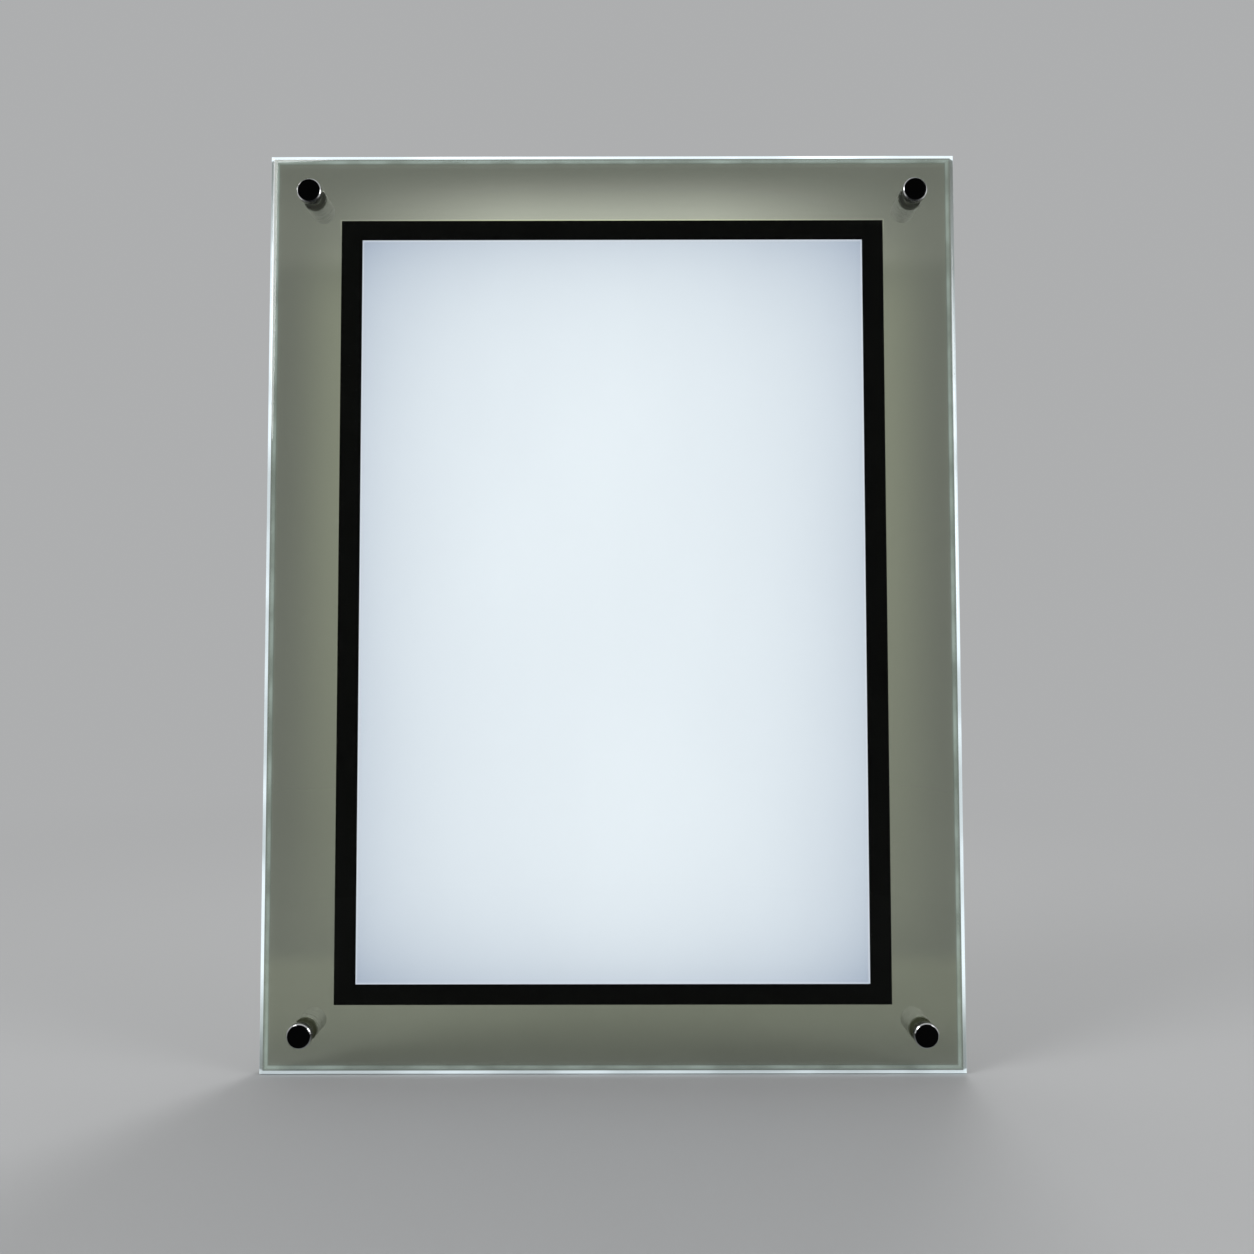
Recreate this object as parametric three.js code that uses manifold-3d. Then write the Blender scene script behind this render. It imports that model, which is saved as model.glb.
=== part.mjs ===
import * as THREE from 'three';
import { mergeVertices } from 'three/addons/utils/BufferGeometryUtils.js';
import Module from 'manifold-3d';

// Edge-lit wall light box with four standoffs.
// Millimetres. X runs right and Z up as seen from the front, and the front faces -Y.
// The origin is on the wall, behind the middle of the panel.
// A station is a distance forward of the wall, so a point's y is minus its station.

const wasm = await Module();
wasm.setup();

// Window, the printed border round it, and the clear margin round that
const windowWidth = 393;
const windowHeight = 578;
const borderSide = 16.5;
const borderTop = 15.5;
const borderThickness = 0.2;
const marginSide = 56;
const marginTop = 51.5;

// Panel: two clear plates of one outline
const frontThickness = 5;
const rearThickness = 8;
const plateGap = 0.5;

// Polished edge of the front plate: a steep outer facet and a shallow inner one
const edgeFacetWidth = 3.4;
const edgeFacetDepth = 2.8;
const faceFacetWidth = 4.6;
const faceFacetDepth = 0.6;

// Standoffs
const capInsetSide = 32.5;
const capInsetTop = 31;
const capDiameter = 19;
const capThickness = 5.5;
const capChamfer = 0.8;
const capBoreDepth = 3.8;
const studDiameter = 7.8;
const studLength = 30;
const studChamfer = 0.8;
const studHoleDiameter = 10;
const barrelDiameter = 19;
const barrelLength = 25;
const barrelChamfer = 0.6;
const barrelBoreDepth = 15;
const wallScrewHoleDiameter = 5;
const washerDiameter = 17;
const rearWasherThickness = 1;
const capWasherThickness = 0.8;

// Clearances between pieces
const seatGap = 0.2;
const filmGap = 0.1;
const threadGap = 0.3;
const cutOverrun = 1;

// Lit unit
const guideOverlap = 1.5;
const guideThickness = 5;
const reflectorThickness = 0.3;
const diffuserThickness = 1;
const guideAirGap = 0.4;
const boardThickness = 1;
const boardDepth = 6;
const railThickness = 1;
const chipLength = 3.5;
const chipDepth = 2.8;
const chipHeight = 0.8;
const chipSink = 0.1;
const chipPitch = 25;
const chipEndMargin = 8;

// Back cover and its screws
const coverThickness = 2;
const coverReveal = 0.8;
const coverCornerRadius = 4;
const screwHeadDiameter = 5.6;
const screwHeadHeight = 1.9;
const screwHeadDomeHeight = 0.7;
const screwShankDiameter = 2.8;
const coverScrewLength = 7.5;
const coverScrewRows = 5;

// Inlet box, low on the cover and right of the middle
const boxSideInset = 93.8;
const boxWidth = 70;
const boxHeight = 36;
const boxDepth = 17.5;
const boxWall = 1.8;
const boxCornerRadius = 3;
const boxEdgeInset = 2.8;
const earWidth = 9;
const earHeight = 12;
const earThickness = 2;
const boxScrewLength = 3.6;

// Inlet socket, its nut and the terminal block
const socketInset = 17;
const socketBodyDiameter = 8;
const socketBodyLength = 14;
const socketFlangeDiameter = 11;
const socketFlangeThickness = 2;
const socketMouthDiameter = 5.7;
const socketMouthDepth = 9.5;
const socketPinDiameter = 2;
const socketPinRecess = 1;
const nutAcrossFlats = 11;
const nutThickness = 2.5;
const blockInset = 23;
const blockWidth = 14;
const blockHeight = 10;
const blockDepth = 9;
const blockTopInset = 4;
const polePitch = 5;
const poleWellDiameter = 3.4;
const poleWellDepth = 4;

// Wires and the slot that lets a pair through the cover
const wireDiameter = 1.4;
const wirePitch = 3.5;
const wireBend = 5;
const slotInset = 9;
const slotWidth = 8;
const slotHeight = 2.6;

// Facets of round pieces
const turnedSegments = 24;
const smallSegments = 12;
const studSegments = 16;
const arcSegments = 4;
const wireSides = 6;
const wireSteps = 14;

// Stations, from the wall forward
const rearWasherStation = barrelLength + seatGap;
const rearPlateStation = rearWasherStation + rearWasherThickness + seatGap;
const rearPlateFront = rearPlateStation + rearThickness;
const frontPlateStation = rearPlateFront + plateGap;
const frontPlateFront = frontPlateStation + frontThickness;
const borderStation = frontPlateStation - filmGap - borderThickness;
const capWasherStation = frontPlateFront + seatGap;
const capStation = capWasherStation + capWasherThickness + seatGap;
const studStation = capStation + capBoreDepth - threadGap - studLength;
const coverStation = rearPlateStation - seatGap - coverThickness;
const reflectorStation = rearPlateStation;
const guideStation = reflectorStation + reflectorThickness + seatGap;
const diffuserStation = guideStation + guideThickness + seatGap;
const boardStation = rearPlateStation + seatGap;
const boxStation = coverStation - seatGap - boxDepth;

// Outlines that follow one another outward from the window
const borderWidth = windowWidth + 2 * borderSide;
const borderHeight = windowHeight + 2 * borderTop;
const panelWidth = borderWidth + 2 * marginSide;
const panelHeight = borderHeight + 2 * marginTop;
const guideWidth = windowWidth + 2 * guideOverlap;
const guideHeight = windowHeight + 2 * guideOverlap;
const railInset = seatGap + railThickness + seatGap;
const boardInset = railInset + boardThickness + seatGap;
const boardOffset = railInset + boardThickness / 2;
const stripDepth = railInset + boardThickness + chipHeight + guideAirGap;
const cutoutWidth = guideWidth + 2 * stripDepth;
const cutoutHeight = guideHeight + 2 * stripDepth;
const coverWidth = borderWidth + 2 * coverReveal;
const coverHeight = borderHeight + 2 * coverReveal;
const capX = panelWidth / 2 - capInsetSide;
const capZ = panelHeight / 2 - capInsetTop;

// Cover screws stand midway between the cut-out and the cover's edge
const screwX = (cutoutWidth + coverWidth) / 4;
const screwZ = (cutoutHeight + coverHeight) / 4;

// Inlet box and what is in it
const boxCentreX = coverWidth / 2 - boxSideInset;
const boxBottom = -coverHeight / 2 + boxEdgeInset;
const boxCentreZ = boxBottom + boxHeight / 2;
const socketX = boxCentreX - boxWidth / 2 + socketInset;
const socketStation = boxStation + boxDepth / 2;
const blockX = boxCentreX + boxWidth / 2 - blockInset;
const blockZ = boxBottom + boxHeight - boxWall - blockTopInset - blockHeight / 2;
const blockStation = coverStation - seatGap - blockDepth;
const slotX = boxCentreX + boxWidth / 2 - slotInset;
const slotZ = -cutoutHeight / 2 + boardOffset;

const steel = new THREE.MeshStandardMaterial({ color: 0xd4d6d8, roughness: 0.08, metalness: 1 });
const brushedSteel = new THREE.MeshStandardMaterial({ color: 0xb9bcbf, roughness: 0.35, metalness: 1 });
const aluminium = new THREE.MeshStandardMaterial({ color: 0xc4c7ca, roughness: 0.4, metalness: 1 });
const blackPrint = new THREE.MeshStandardMaterial({ color: 0x0d0e0c, roughness: 0.45, metalness: 0 });
const blackPlastic = new THREE.MeshStandardMaterial({ color: 0x17181a, roughness: 0.5, metalness: 0 });
const coverPaint = new THREE.MeshStandardMaterial({ color: 0xe6e8e6, roughness: 0.5, metalness: 0.1 });
const boardWhite = new THREE.MeshStandardMaterial({ color: 0xeef0ea, roughness: 0.45, metalness: 0 });
const reflectorWhite = new THREE.MeshStandardMaterial({ color: 0xf6f7f7, roughness: 0.3, metalness: 0 });
const blockNylon = new THREE.MeshStandardMaterial({ color: 0x3f7a4c, roughness: 0.5, metalness: 0 });
const wireRed = new THREE.MeshStandardMaterial({ color: 0xa31f1c, roughness: 0.4, metalness: 0 });
const wireBlack = new THREE.MeshStandardMaterial({ color: 0x141414, roughness: 0.4, metalness: 0 });
const clearAcrylic = new THREE.MeshStandardMaterial({
  color: 0xe4efe8,
  roughness: 0.04,
  metalness: 0,
  transparent: true,
  opacity: 0.3,
});
const clearVinyl = new THREE.MeshStandardMaterial({
  color: 0xdfe4e4,
  roughness: 0.25,
  metalness: 0,
  transparent: true,
  opacity: 0.5,
});
const litSheet = new THREE.MeshStandardMaterial({
  color: 0xe3ecf5,
  roughness: 0.6,
  metalness: 0,
  emissive: 0xe3ecf5,
  emissiveIntensity: 0.8,
});

/** Volume inside a triangle mesh, negative where its faces point in. */
function signedVolume(positions, index) {
  const [a, b, c] = [new THREE.Vector3(), new THREE.Vector3(), new THREE.Vector3()];
  let total = 0;
  for (let i = 0; i < index.length; i += 3) {
    a.fromBufferAttribute(positions, index[i]);
    b.fromBufferAttribute(positions, index[i + 1]);
    c.fromBufferAttribute(positions, index[i + 2]);
    total += a.dot(b.cross(c));
  }
  return total / 6;
}

/** The geometry with shared vertices, without collapsed triangles, and facing outward. */
function closed(geometry) {
  const bare = new THREE.BufferGeometry();
  bare.setAttribute('position', geometry.getAttribute('position').clone());
  bare.setIndex(geometry.getIndex() ? geometry.getIndex().clone() : null);
  const merged = mergeVertices(bare);
  const corners = merged.getIndex().array;
  const kept = [];
  for (let i = 0; i < corners.length; i += 3) {
    const [a, b, c] = [corners[i], corners[i + 1], corners[i + 2]];
    if (a !== b && b !== c && c !== a) kept.push(a, b, c);
  }
  if (signedVolume(merged.getAttribute('position'), kept) < 0) kept.reverse();
  merged.setIndex(kept);
  return merged;
}

/** A closed geometry as a solid that can be cut and joined. */
function toSolid(geometry) {
  const merged = closed(geometry);
  const mesh = new wasm.Mesh({
    numProp: 3,
    vertProperties: new Float32Array(merged.getAttribute('position').array),
    triVerts: new Uint32Array(merged.getIndex().array),
  });
  return new wasm.Manifold(mesh);
}

/** A solid's surface as a geometry. */
function toGeometry(solid) {
  const { vertProperties, triVerts } = solid.getMesh();
  const geometry = new THREE.BufferGeometry();
  geometry.setAttribute('position', new THREE.Float32BufferAttribute(vertProperties, 3));
  geometry.setIndex(Array.from(triVerts));
  return geometry;
}

/** The body with each tool's space removed. */
function cut(body, tools) {
  return toGeometry(tools.reduce((solid, tool) => solid.subtract(toSolid(tool)), toSolid(body)));
}

/** The bodies as one. */
function joined(bodies) {
  return toGeometry(bodies.map(toSolid).reduce((solid, other) => solid.add(other)));
}

/** A body turned about Y from a profile of [radius, height], heights running forward. */
function turned(profile, segments = turnedSegments) {
  const points = profile.map(([radius, height]) => new THREE.Vector2(radius, -height));
  return closed(new THREE.LatheGeometry(points, segments));
}

/** A ring turned about Y from a closed profile of [radius, height]. */
function turnedRing(profile, segments = turnedSegments) {
  return turned([...profile, profile[0]], segments);
}

/** A sheet of an outline in X and Z, running forward from its back face. */
function sheet(shape, thickness) {
  const settings = { depth: thickness, bevelEnabled: false, curveSegments: arcSegments };
  const geometry = new THREE.ExtrudeGeometry(shape, settings);
  geometry.rotateX(Math.PI / 2);
  return closed(geometry);
}

/** A block centred in X and Z, running forward from its back face. */
function block(width, height, depth) {
  const geometry = new THREE.BoxGeometry(width, depth, height);
  geometry.translate(0, -depth / 2, 0);
  return geometry;
}

/** A drill along Y, running forward from its start. */
function drill(diameter, depth, segments = turnedSegments) {
  const geometry = new THREE.CylinderGeometry(diameter / 2, diameter / 2, depth, segments);
  geometry.translate(0, -depth / 2, 0);
  return geometry;
}

/** The geometry moved right, forward and up. */
function moved(geometry, right, forward, up) {
  return geometry.clone().translate(right, -forward, up);
}

/** A centred rectangle with rounded corners. */
function roundedRectangle(width, height, radius) {
  const [x, y] = [width / 2 - radius, height / 2 - radius];
  const shape = new THREE.Shape();
  shape.absarc(x, y, radius, 0, Math.PI / 2);
  shape.absarc(-x, y, radius, Math.PI / 2, Math.PI);
  shape.absarc(-x, -y, radius, Math.PI, 1.5 * Math.PI);
  shape.absarc(x, -y, radius, 1.5 * Math.PI, 2 * Math.PI);
  shape.closePath();
  return shape;
}

/** A rectangular body through sections of [width, height, forward], joined by flat facets. */
function faceted(sections) {
  const positions = [];
  for (const [width, height, forward] of sections) {
    for (const [signX, signZ] of [[-1, -1], [1, -1], [1, 1], [-1, 1]]) {
      positions.push(signX * width / 2, -forward, signZ * height / 2);
    }
  }
  const index = [0, 1, 2, 0, 2, 3];
  for (let s = 0; s + 1 < sections.length; s += 1) {
    for (let side = 0; side < 4; side += 1) {
      const [a, b] = [4 * s + side, 4 * s + (side + 1) % 4];
      index.push(a, a + 4, b, b, a + 4, b + 4);
    }
  }
  const last = 4 * (sections.length - 1);
  index.push(last, last + 2, last + 1, last, last + 3, last + 2);
  const geometry = new THREE.BufferGeometry();
  geometry.setAttribute('position', new THREE.Float32BufferAttribute(positions, 3));
  geometry.setIndex(index);
  return closed(geometry);
}

/** A named mesh, placed right, forward and up of its parent. */
function piece(name, geometry, material, right = 0, forward = 0, up = 0) {
  const mesh = new THREE.Mesh(geometry, material);
  mesh.name = name;
  mesh.position.set(right, -forward, up);
  return mesh;
}

/** Corner names with their side signs, as seen from the front. */
const corners = [
  { name: 'top_left', x: -1, z: 1 },
  { name: 'top_right', x: 1, z: 1 },
  { name: 'bottom_right', x: 1, z: -1 },
  { name: 'bottom_left', x: -1, z: -1 },
];

/** The four holes for the studs, through a plate. */
function studHoles(thickness) {
  const hole = drill(studHoleDiameter, thickness + 2 * cutOverrun);
  return corners.map(({ x, z }) => moved(hole, x * capX, -cutOverrun, z * capZ));
}

/** Where the cover's screws stand: a row at each side, and one at the middle of top and bottom. */
function coverScrewPlaces() {
  const places = [[0, screwZ], [0, -screwZ]];
  for (let row = 0; row < coverScrewRows; row += 1) {
    const share = 2 * row / (coverScrewRows - 1) - 1;
    places.push([-screwX, share * screwZ], [screwX, share * screwZ]);
  }
  return places;
}

/** Front plate: clear, with two polished facets round its face and four stud holes. */
function frontPlate() {
  const steepInset = 2 * edgeFacetWidth;
  const fullInset = steepInset + 2 * faceFacetWidth;
  const landDepth = frontThickness - edgeFacetDepth - faceFacetDepth;
  const body = faceted([
    [panelWidth, panelHeight, 0],
    [panelWidth, panelHeight, landDepth],
    [panelWidth - steepInset, panelHeight - steepInset, landDepth + edgeFacetDepth],
    [panelWidth - fullInset, panelHeight - fullInset, frontThickness],
  ]);
  return cut(body, studHoles(frontThickness));
}

/** Printed border: a thin black frame. */
function borderPrint() {
  const frame = block(borderWidth, borderHeight, borderThickness);
  const window = block(windowWidth, windowHeight, borderThickness + 2 * cutOverrun);
  return cut(frame, [moved(window, 0, -cutOverrun, 0)]);
}

/** Rear plate: clear, cut out for the lit unit, drilled for the studs and the cover's screws. */
function rearPlate() {
  const cutout = block(cutoutWidth, cutoutHeight, rearThickness + 2 * cutOverrun);
  const screwHoleDepth = coverScrewLength - coverThickness + cutOverrun;
  const screwHole = drill(screwShankDiameter + 2 * threadGap, cutOverrun + screwHoleDepth, smallSegments);
  const screwHoles = coverScrewPlaces().map(([x, z]) => moved(screwHole, x, -cutOverrun, z));
  const body = block(panelWidth, panelHeight, rearThickness);
  return cut(body, [moved(cutout, 0, -cutOverrun, 0), ...studHoles(rearThickness), ...screwHoles]);
}

/** Back cover: a sheet with rounded corners, holes for its screws and the box's, and the wire slot. */
function backCover() {
  const through = coverThickness + 2 * cutOverrun;
  const hole = drill(screwShankDiameter + 2 * threadGap, through, smallSegments);
  const places = [...coverScrewPlaces(), ...boxScrewPlaces()];
  const holes = places.map(([x, z]) => moved(hole, x, -cutOverrun, z));
  const slot = sheet(roundedRectangle(slotWidth, slotHeight, slotHeight / 2), through);
  const body = sheet(roundedRectangle(coverWidth, coverHeight, coverCornerRadius), coverThickness);
  return cut(body, [...holes, moved(slot, slotX, -cutOverrun, slotZ)]);
}

/** Pan-head screw: its head's top at the back, its shank running forward. */
function panScrew(length) {
  const [headRadius, shankRadius] = [screwHeadDiameter / 2, screwShankDiameter / 2];
  const tipRadius = shankRadius / 2;
  return turned([
    [0, 0],
    [headRadius - screwHeadDomeHeight, 0],
    [headRadius, screwHeadDomeHeight],
    [headRadius, screwHeadHeight],
    [shankRadius, screwHeadHeight],
    [shankRadius, screwHeadHeight + length - tipRadius],
    [tipRadius, screwHeadHeight + length],
    [0, screwHeadHeight + length],
  ], smallSegments);
}

/** Places along a light strip's board where its packages stand, centred. */
function chipPlaces(length) {
  const count = Math.floor((length - 2 * chipEndMargin) / chipPitch) + 1;
  return Array.from({ length: count }, (_, i) => (i - (count - 1) / 2) * chipPitch);
}

/** Light strip along X: a board on edge with its packages on the upper side. */
function lightStrip(length) {
  const board = block(length, boardThickness, boardDepth);
  const chip = block(chipLength, chipHeight + chipSink, chipDepth);
  const chipUp = boardThickness / 2 + (chipHeight - chipSink) / 2;
  const chipForward = (boardDepth - chipDepth) / 2;
  const chips = chipPlaces(length).map((x) => moved(chip, x, chipForward, chipUp));
  return joined([board, ...chips]);
}

/** Where the inlet box's two screws stand. */
function boxScrewPlaces() {
  const reach = (boxWidth + earWidth) / 2;
  return [[boxCentreX - reach, boxCentreZ], [boxCentreX + reach, boxCentreZ]];
}

/** Inlet box: a shell open towards the cover, with an ear at each side and a hole for the socket. */
function inletBox() {
  const shell = sheet(roundedRectangle(boxWidth, boxHeight, boxCornerRadius), boxDepth);
  const hollow = sheet(
    roundedRectangle(boxWidth - 2 * boxWall, boxHeight - 2 * boxWall, boxCornerRadius - boxWall / 2),
    boxDepth,
  );
  const earSpan = boxWidth + 2 * earWidth;
  const ears = sheet(roundedRectangle(earSpan, earHeight, boxCornerRadius), earThickness);
  const earForward = boxDepth - earThickness;
  const earHole = drill(screwShankDiameter + 2 * threadGap, earThickness + 2 * cutOverrun, smallSegments);
  const holeForward = earForward - cutOverrun;
  const earHoles = boxScrewPlaces().map(([x]) => moved(earHole, x - boxCentreX, holeForward, 0));
  const socketHoleRadius = socketBodyDiameter / 2 + seatGap;
  const socketHole = new THREE.CylinderGeometry(
    socketHoleRadius,
    socketHoleRadius,
    2 * boxWall,
    turnedSegments,
  );
  socketHole.rotateX(Math.PI / 2);
  const body = joined([shell, moved(ears, 0, earForward, 0)]);
  return cut(body, [
    moved(hollow, 0, boxWall, 0),
    moved(socketHole, socketX - boxCentreX, boxDepth / 2, -boxHeight / 2),
    ...earHoles,
  ]);
}

/** Inlet socket, its mouth at the bottom: flange, threaded body, mouth and centre pin. */
function inletSocket() {
  const length = socketFlangeThickness + socketBodyLength;
  const geometry = turned([
    [0, -socketPinRecess],
    [socketPinDiameter / 2, -socketPinRecess],
    [socketPinDiameter / 2, -socketMouthDepth],
    [socketMouthDiameter / 2, -socketMouthDepth],
    [socketMouthDiameter / 2, 0],
    [socketFlangeDiameter / 2, 0],
    [socketFlangeDiameter / 2, -socketFlangeThickness],
    [socketBodyDiameter / 2, -socketFlangeThickness],
    [socketBodyDiameter / 2, -length],
    [0, -length],
  ]);
  geometry.rotateX(Math.PI / 2);
  return geometry;
}

/** Hexagon nut on the socket's body, its axis along Z. */
function socketNut() {
  const hexagon = new THREE.Shape();
  const radius = nutAcrossFlats / Math.sqrt(3);
  for (let corner = 0; corner < 6; corner += 1) {
    const angle = corner * Math.PI / 3;
    const [x, y] = [radius * Math.cos(angle), radius * Math.sin(angle)];
    if (corner === 0) hexagon.moveTo(x, y);
    else hexagon.lineTo(x, y);
  }
  hexagon.closePath();
  const hole = new THREE.Path();
  hole.absarc(0, 0, socketBodyDiameter / 2 + seatGap, 0, 2 * Math.PI, true);
  hexagon.holes.push(hole);
  const settings = { depth: nutThickness, bevelEnabled: false, curveSegments: smallSegments };
  return closed(new THREE.ExtrudeGeometry(hexagon, settings));
}

/** Two-pole terminal block with a screw well over each pole. */
function terminalBlock() {
  const body = block(blockWidth, blockHeight, blockDepth);
  const well = drill(poleWellDiameter, poleWellDepth + cutOverrun, smallSegments);
  const wells = [-1, 1].map((side) => moved(well, 0, -cutOverrun, side * polePitch / 2));
  return cut(body, wells);
}

/** A wire through points of [right, forward, up]. */
function wire(points) {
  const route = points.map(([right, forward, up]) => new THREE.Vector3(right, -forward, up));
  const path = new THREE.CatmullRomCurve3(route, false, 'centripetal');
  const section = new THREE.Shape();
  section.absarc(0, 0, wireDiameter / 2, 0, 2 * Math.PI);
  const settings = { steps: wireSteps, curveSegments: wireSides, bevelEnabled: false, extrudePath: path };
  return closed(new THREE.ExtrudeGeometry(section, settings));
}

/** Wire from the socket's back end to a pole's left side; side is -1 or 1 across the pair. */
function inletWire(side) {
  const start = boxBottom + socketBodyLength + seatGap;
  const poleZ = blockZ - side * polePitch / 2;
  const x = socketX + side * polePitch / 4;
  const poleStation = blockStation + blockDepth / 2;
  const end = blockX - blockWidth / 2 - seatGap;
  return wire([
    [x, socketStation, start],
    [x, socketStation, start + wireDiameter],
    [x + wireBend / 2, (socketStation + poleStation) / 2, poleZ - wireBend / 4],
    [(x + end) / 2, poleStation, poleZ],
    [end - wireDiameter, poleStation, poleZ],
    [end, poleStation, poleZ],
  ]);
}

/** Wire from a pole's right side, down and forward through the slot to the lowest light strip. */
function stripWire(side) {
  const poleZ = blockZ - side * polePitch / 2;
  const poleStation = blockStation + blockDepth / 2;
  const start = blockX + blockWidth / 2 + seatGap;
  const x = slotX - side * wirePitch / 2;
  const end = boardStation - seatGap;
  return wire([
    [start, poleStation, poleZ],
    [start + wireDiameter, poleStation, poleZ],
    [x, poleStation, poleZ - wireBend / 2],
    [x, poleStation, slotZ + wireBend],
    [x, coverStation - wireDiameter, slotZ],
    [x, end - wireDiameter, slotZ],
    [x, end, slotZ],
  ]);
}

/** Barrel: stands on the wall, bored for the stud in front and for a wall screw behind. */
function barrel() {
  const outer = barrelDiameter / 2;
  const bore = studDiameter / 2 + threadGap;
  const screw = wallScrewHoleDiameter / 2;
  const boreEnd = barrelLength - barrelBoreDepth;
  return turnedRing([
    [screw, 0],
    [outer - barrelChamfer, 0],
    [outer, barrelChamfer],
    [outer, barrelLength - barrelChamfer],
    [outer - barrelChamfer, barrelLength],
    [bore, barrelLength],
    [bore, boreEnd],
    [screw, boreEnd - (bore - screw)],
  ]);
}

/** Washer of the given thickness, with the same hole as the plates. */
function washer(thickness) {
  const [outer, inner] = [washerDiameter / 2, studHoleDiameter / 2];
  return turnedRing([[inner, 0], [outer, 0], [outer, thickness], [inner, thickness]]);
}

/** Cap: a flat mirror disc with a chamfered rim and a blind bore for its stud. */
function cap() {
  const outer = capDiameter / 2;
  const bore = studDiameter / 2 + threadGap;
  return turned([
    [0, capBoreDepth],
    [bore, capBoreDepth],
    [bore, 0],
    [outer, 0],
    [outer, capThickness - capChamfer],
    [outer - capChamfer, capThickness],
    [0, capThickness],
  ]);
}

/** Threaded stud, plain, with chamfered ends. */
function stud() {
  const radius = studDiameter / 2;
  return turned([
    [0, 0],
    [radius - studChamfer, 0],
    [radius, studChamfer],
    [radius, studLength - studChamfer],
    [radius - studChamfer, studLength],
    [0, studLength],
  ], studSegments);
}

/** Front cover: the plate and the border printed on it. */
function frontCover() {
  const group = new THREE.Group();
  group.add(
    piece('front_plate', frontPlate(), clearAcrylic, 0, frontPlateStation),
    piece('border_print', borderPrint(), blackPrint, 0, borderStation),
  );
  return group;
}

/** Lit unit: reflector, light guide and diffuser, with a rail and a strip along each side. */
function litUnit() {
  const group = new THREE.Group();
  const outline = [guideWidth, guideHeight];
  group.add(
    piece('reflector_sheet', block(...outline, reflectorThickness), reflectorWhite, 0, reflectorStation),
    piece('light_guide', block(...outline, guideThickness), clearAcrylic, 0, guideStation),
    piece('diffuser_sheet', block(...outline, diffuserThickness), litSheet, 0, diffuserStation),
  );
  const acrossWidth = {
    reach: cutoutHeight / 2,
    rail: cutoutWidth - 2 * seatGap,
    board: cutoutWidth - 2 * railInset,
  };
  const upHeight = {
    reach: cutoutWidth / 2,
    rail: cutoutHeight - 2 * railInset,
    board: cutoutHeight - 2 * boardInset,
  };
  const sides = [
    { name: 'top', turn: Math.PI, ...acrossWidth },
    { name: 'bottom', turn: 0, ...acrossWidth },
    { name: 'left', turn: Math.PI / 2, ...upHeight },
    { name: 'right', turn: -Math.PI / 2, ...upHeight },
  ];
  for (const { name, turn, reach, rail, board } of sides) {
    const side = new THREE.Group();
    side.rotation.y = turn;
    side.add(
      piece(`rail_${name}`, block(rail, railThickness, boardDepth), aluminium, 0, boardStation,
        -reach + seatGap + railThickness / 2),
      piece(`light_strip_${name}`, lightStrip(board), boardWhite, 0, boardStation, -reach + boardOffset),
    );
    group.add(side);
  }
  return group;
}

/** Rear unit: the rear plate, the back cover and the screws that hold it. */
function rearUnit() {
  const group = new THREE.Group();
  group.add(
    piece('rear_plate', rearPlate(), clearAcrylic, 0, rearPlateStation),
    piece('back_cover', backCover(), coverPaint, 0, coverStation),
  );
  const headStation = coverStation - seatGap - screwHeadHeight;
  coverScrewPlaces().forEach(([x, z], i) => {
    group.add(piece(`cover_screw_${i + 1}`, panScrew(coverScrewLength), brushedSteel, x, headStation, z));
  });
  return group;
}

/** Inlet: the box on the cover's back, its screws, and the parts that feed the strips. */
function inlet() {
  const group = new THREE.Group();
  const nutZ = boxBottom + boxWall + seatGap;
  const socketZ = boxBottom - seatGap - socketFlangeThickness;
  group.add(
    piece('inlet_box', inletBox(), blackPlastic, boxCentreX, boxStation, boxCentreZ),
    piece('inlet_socket', inletSocket(), blackPlastic, socketX, socketStation, socketZ),
    piece('socket_nut', socketNut(), brushedSteel, socketX, socketStation, nutZ),
    piece('terminal_block', terminalBlock(), blockNylon, blockX, blockStation, blockZ),
    piece('inlet_wire_red', inletWire(1), wireRed),
    piece('inlet_wire_black', inletWire(-1), wireBlack),
    piece('strip_wire_red', stripWire(1), wireRed),
    piece('strip_wire_black', stripWire(-1), wireBlack),
  );
  const headStation = coverStation - seatGap - earThickness - seatGap - screwHeadHeight;
  boxScrewPlaces().forEach(([x, z], i) => {
    group.add(piece(`box_screw_${i + 1}`, panScrew(boxScrewLength), brushedSteel, x, headStation, z));
  });
  return group;
}

/** One standoff: barrel, rear washer, cap washer, cap and stud on one axis. */
function standoff({ name, x, z }) {
  const group = new THREE.Group();
  group.position.set(x * capX, 0, z * capZ);
  group.add(
    piece(`barrel_${name}`, barrel(), brushedSteel),
    piece(`rear_washer_${name}`, washer(rearWasherThickness), clearVinyl, 0, rearWasherStation),
    piece(`cap_washer_${name}`, washer(capWasherThickness), clearVinyl, 0, capWasherStation),
    piece(`cap_${name}`, cap(), steel, 0, capStation),
    piece(`stud_${name}`, stud(), brushedSteel, 0, studStation),
  );
  return group;
}

const lightBox = new THREE.Group();
lightBox.add(frontCover(), rearUnit(), litUnit(), inlet(), ...corners.map(standoff));

export default lightBox;
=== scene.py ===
import logging
import math
from dataclasses import dataclass, field, replace
from enum import Enum
from typing import Callable, ClassVar, Iterable, Sequence

import bmesh
import bpy
from bmesh.types import BMEdge, BMesh, BMFace, BMVert
from bpy.types import ID, Material, Node, NodeOutputs, NodeSocket, NodeTree, Object
from mathutils import Matrix, Vector


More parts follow.
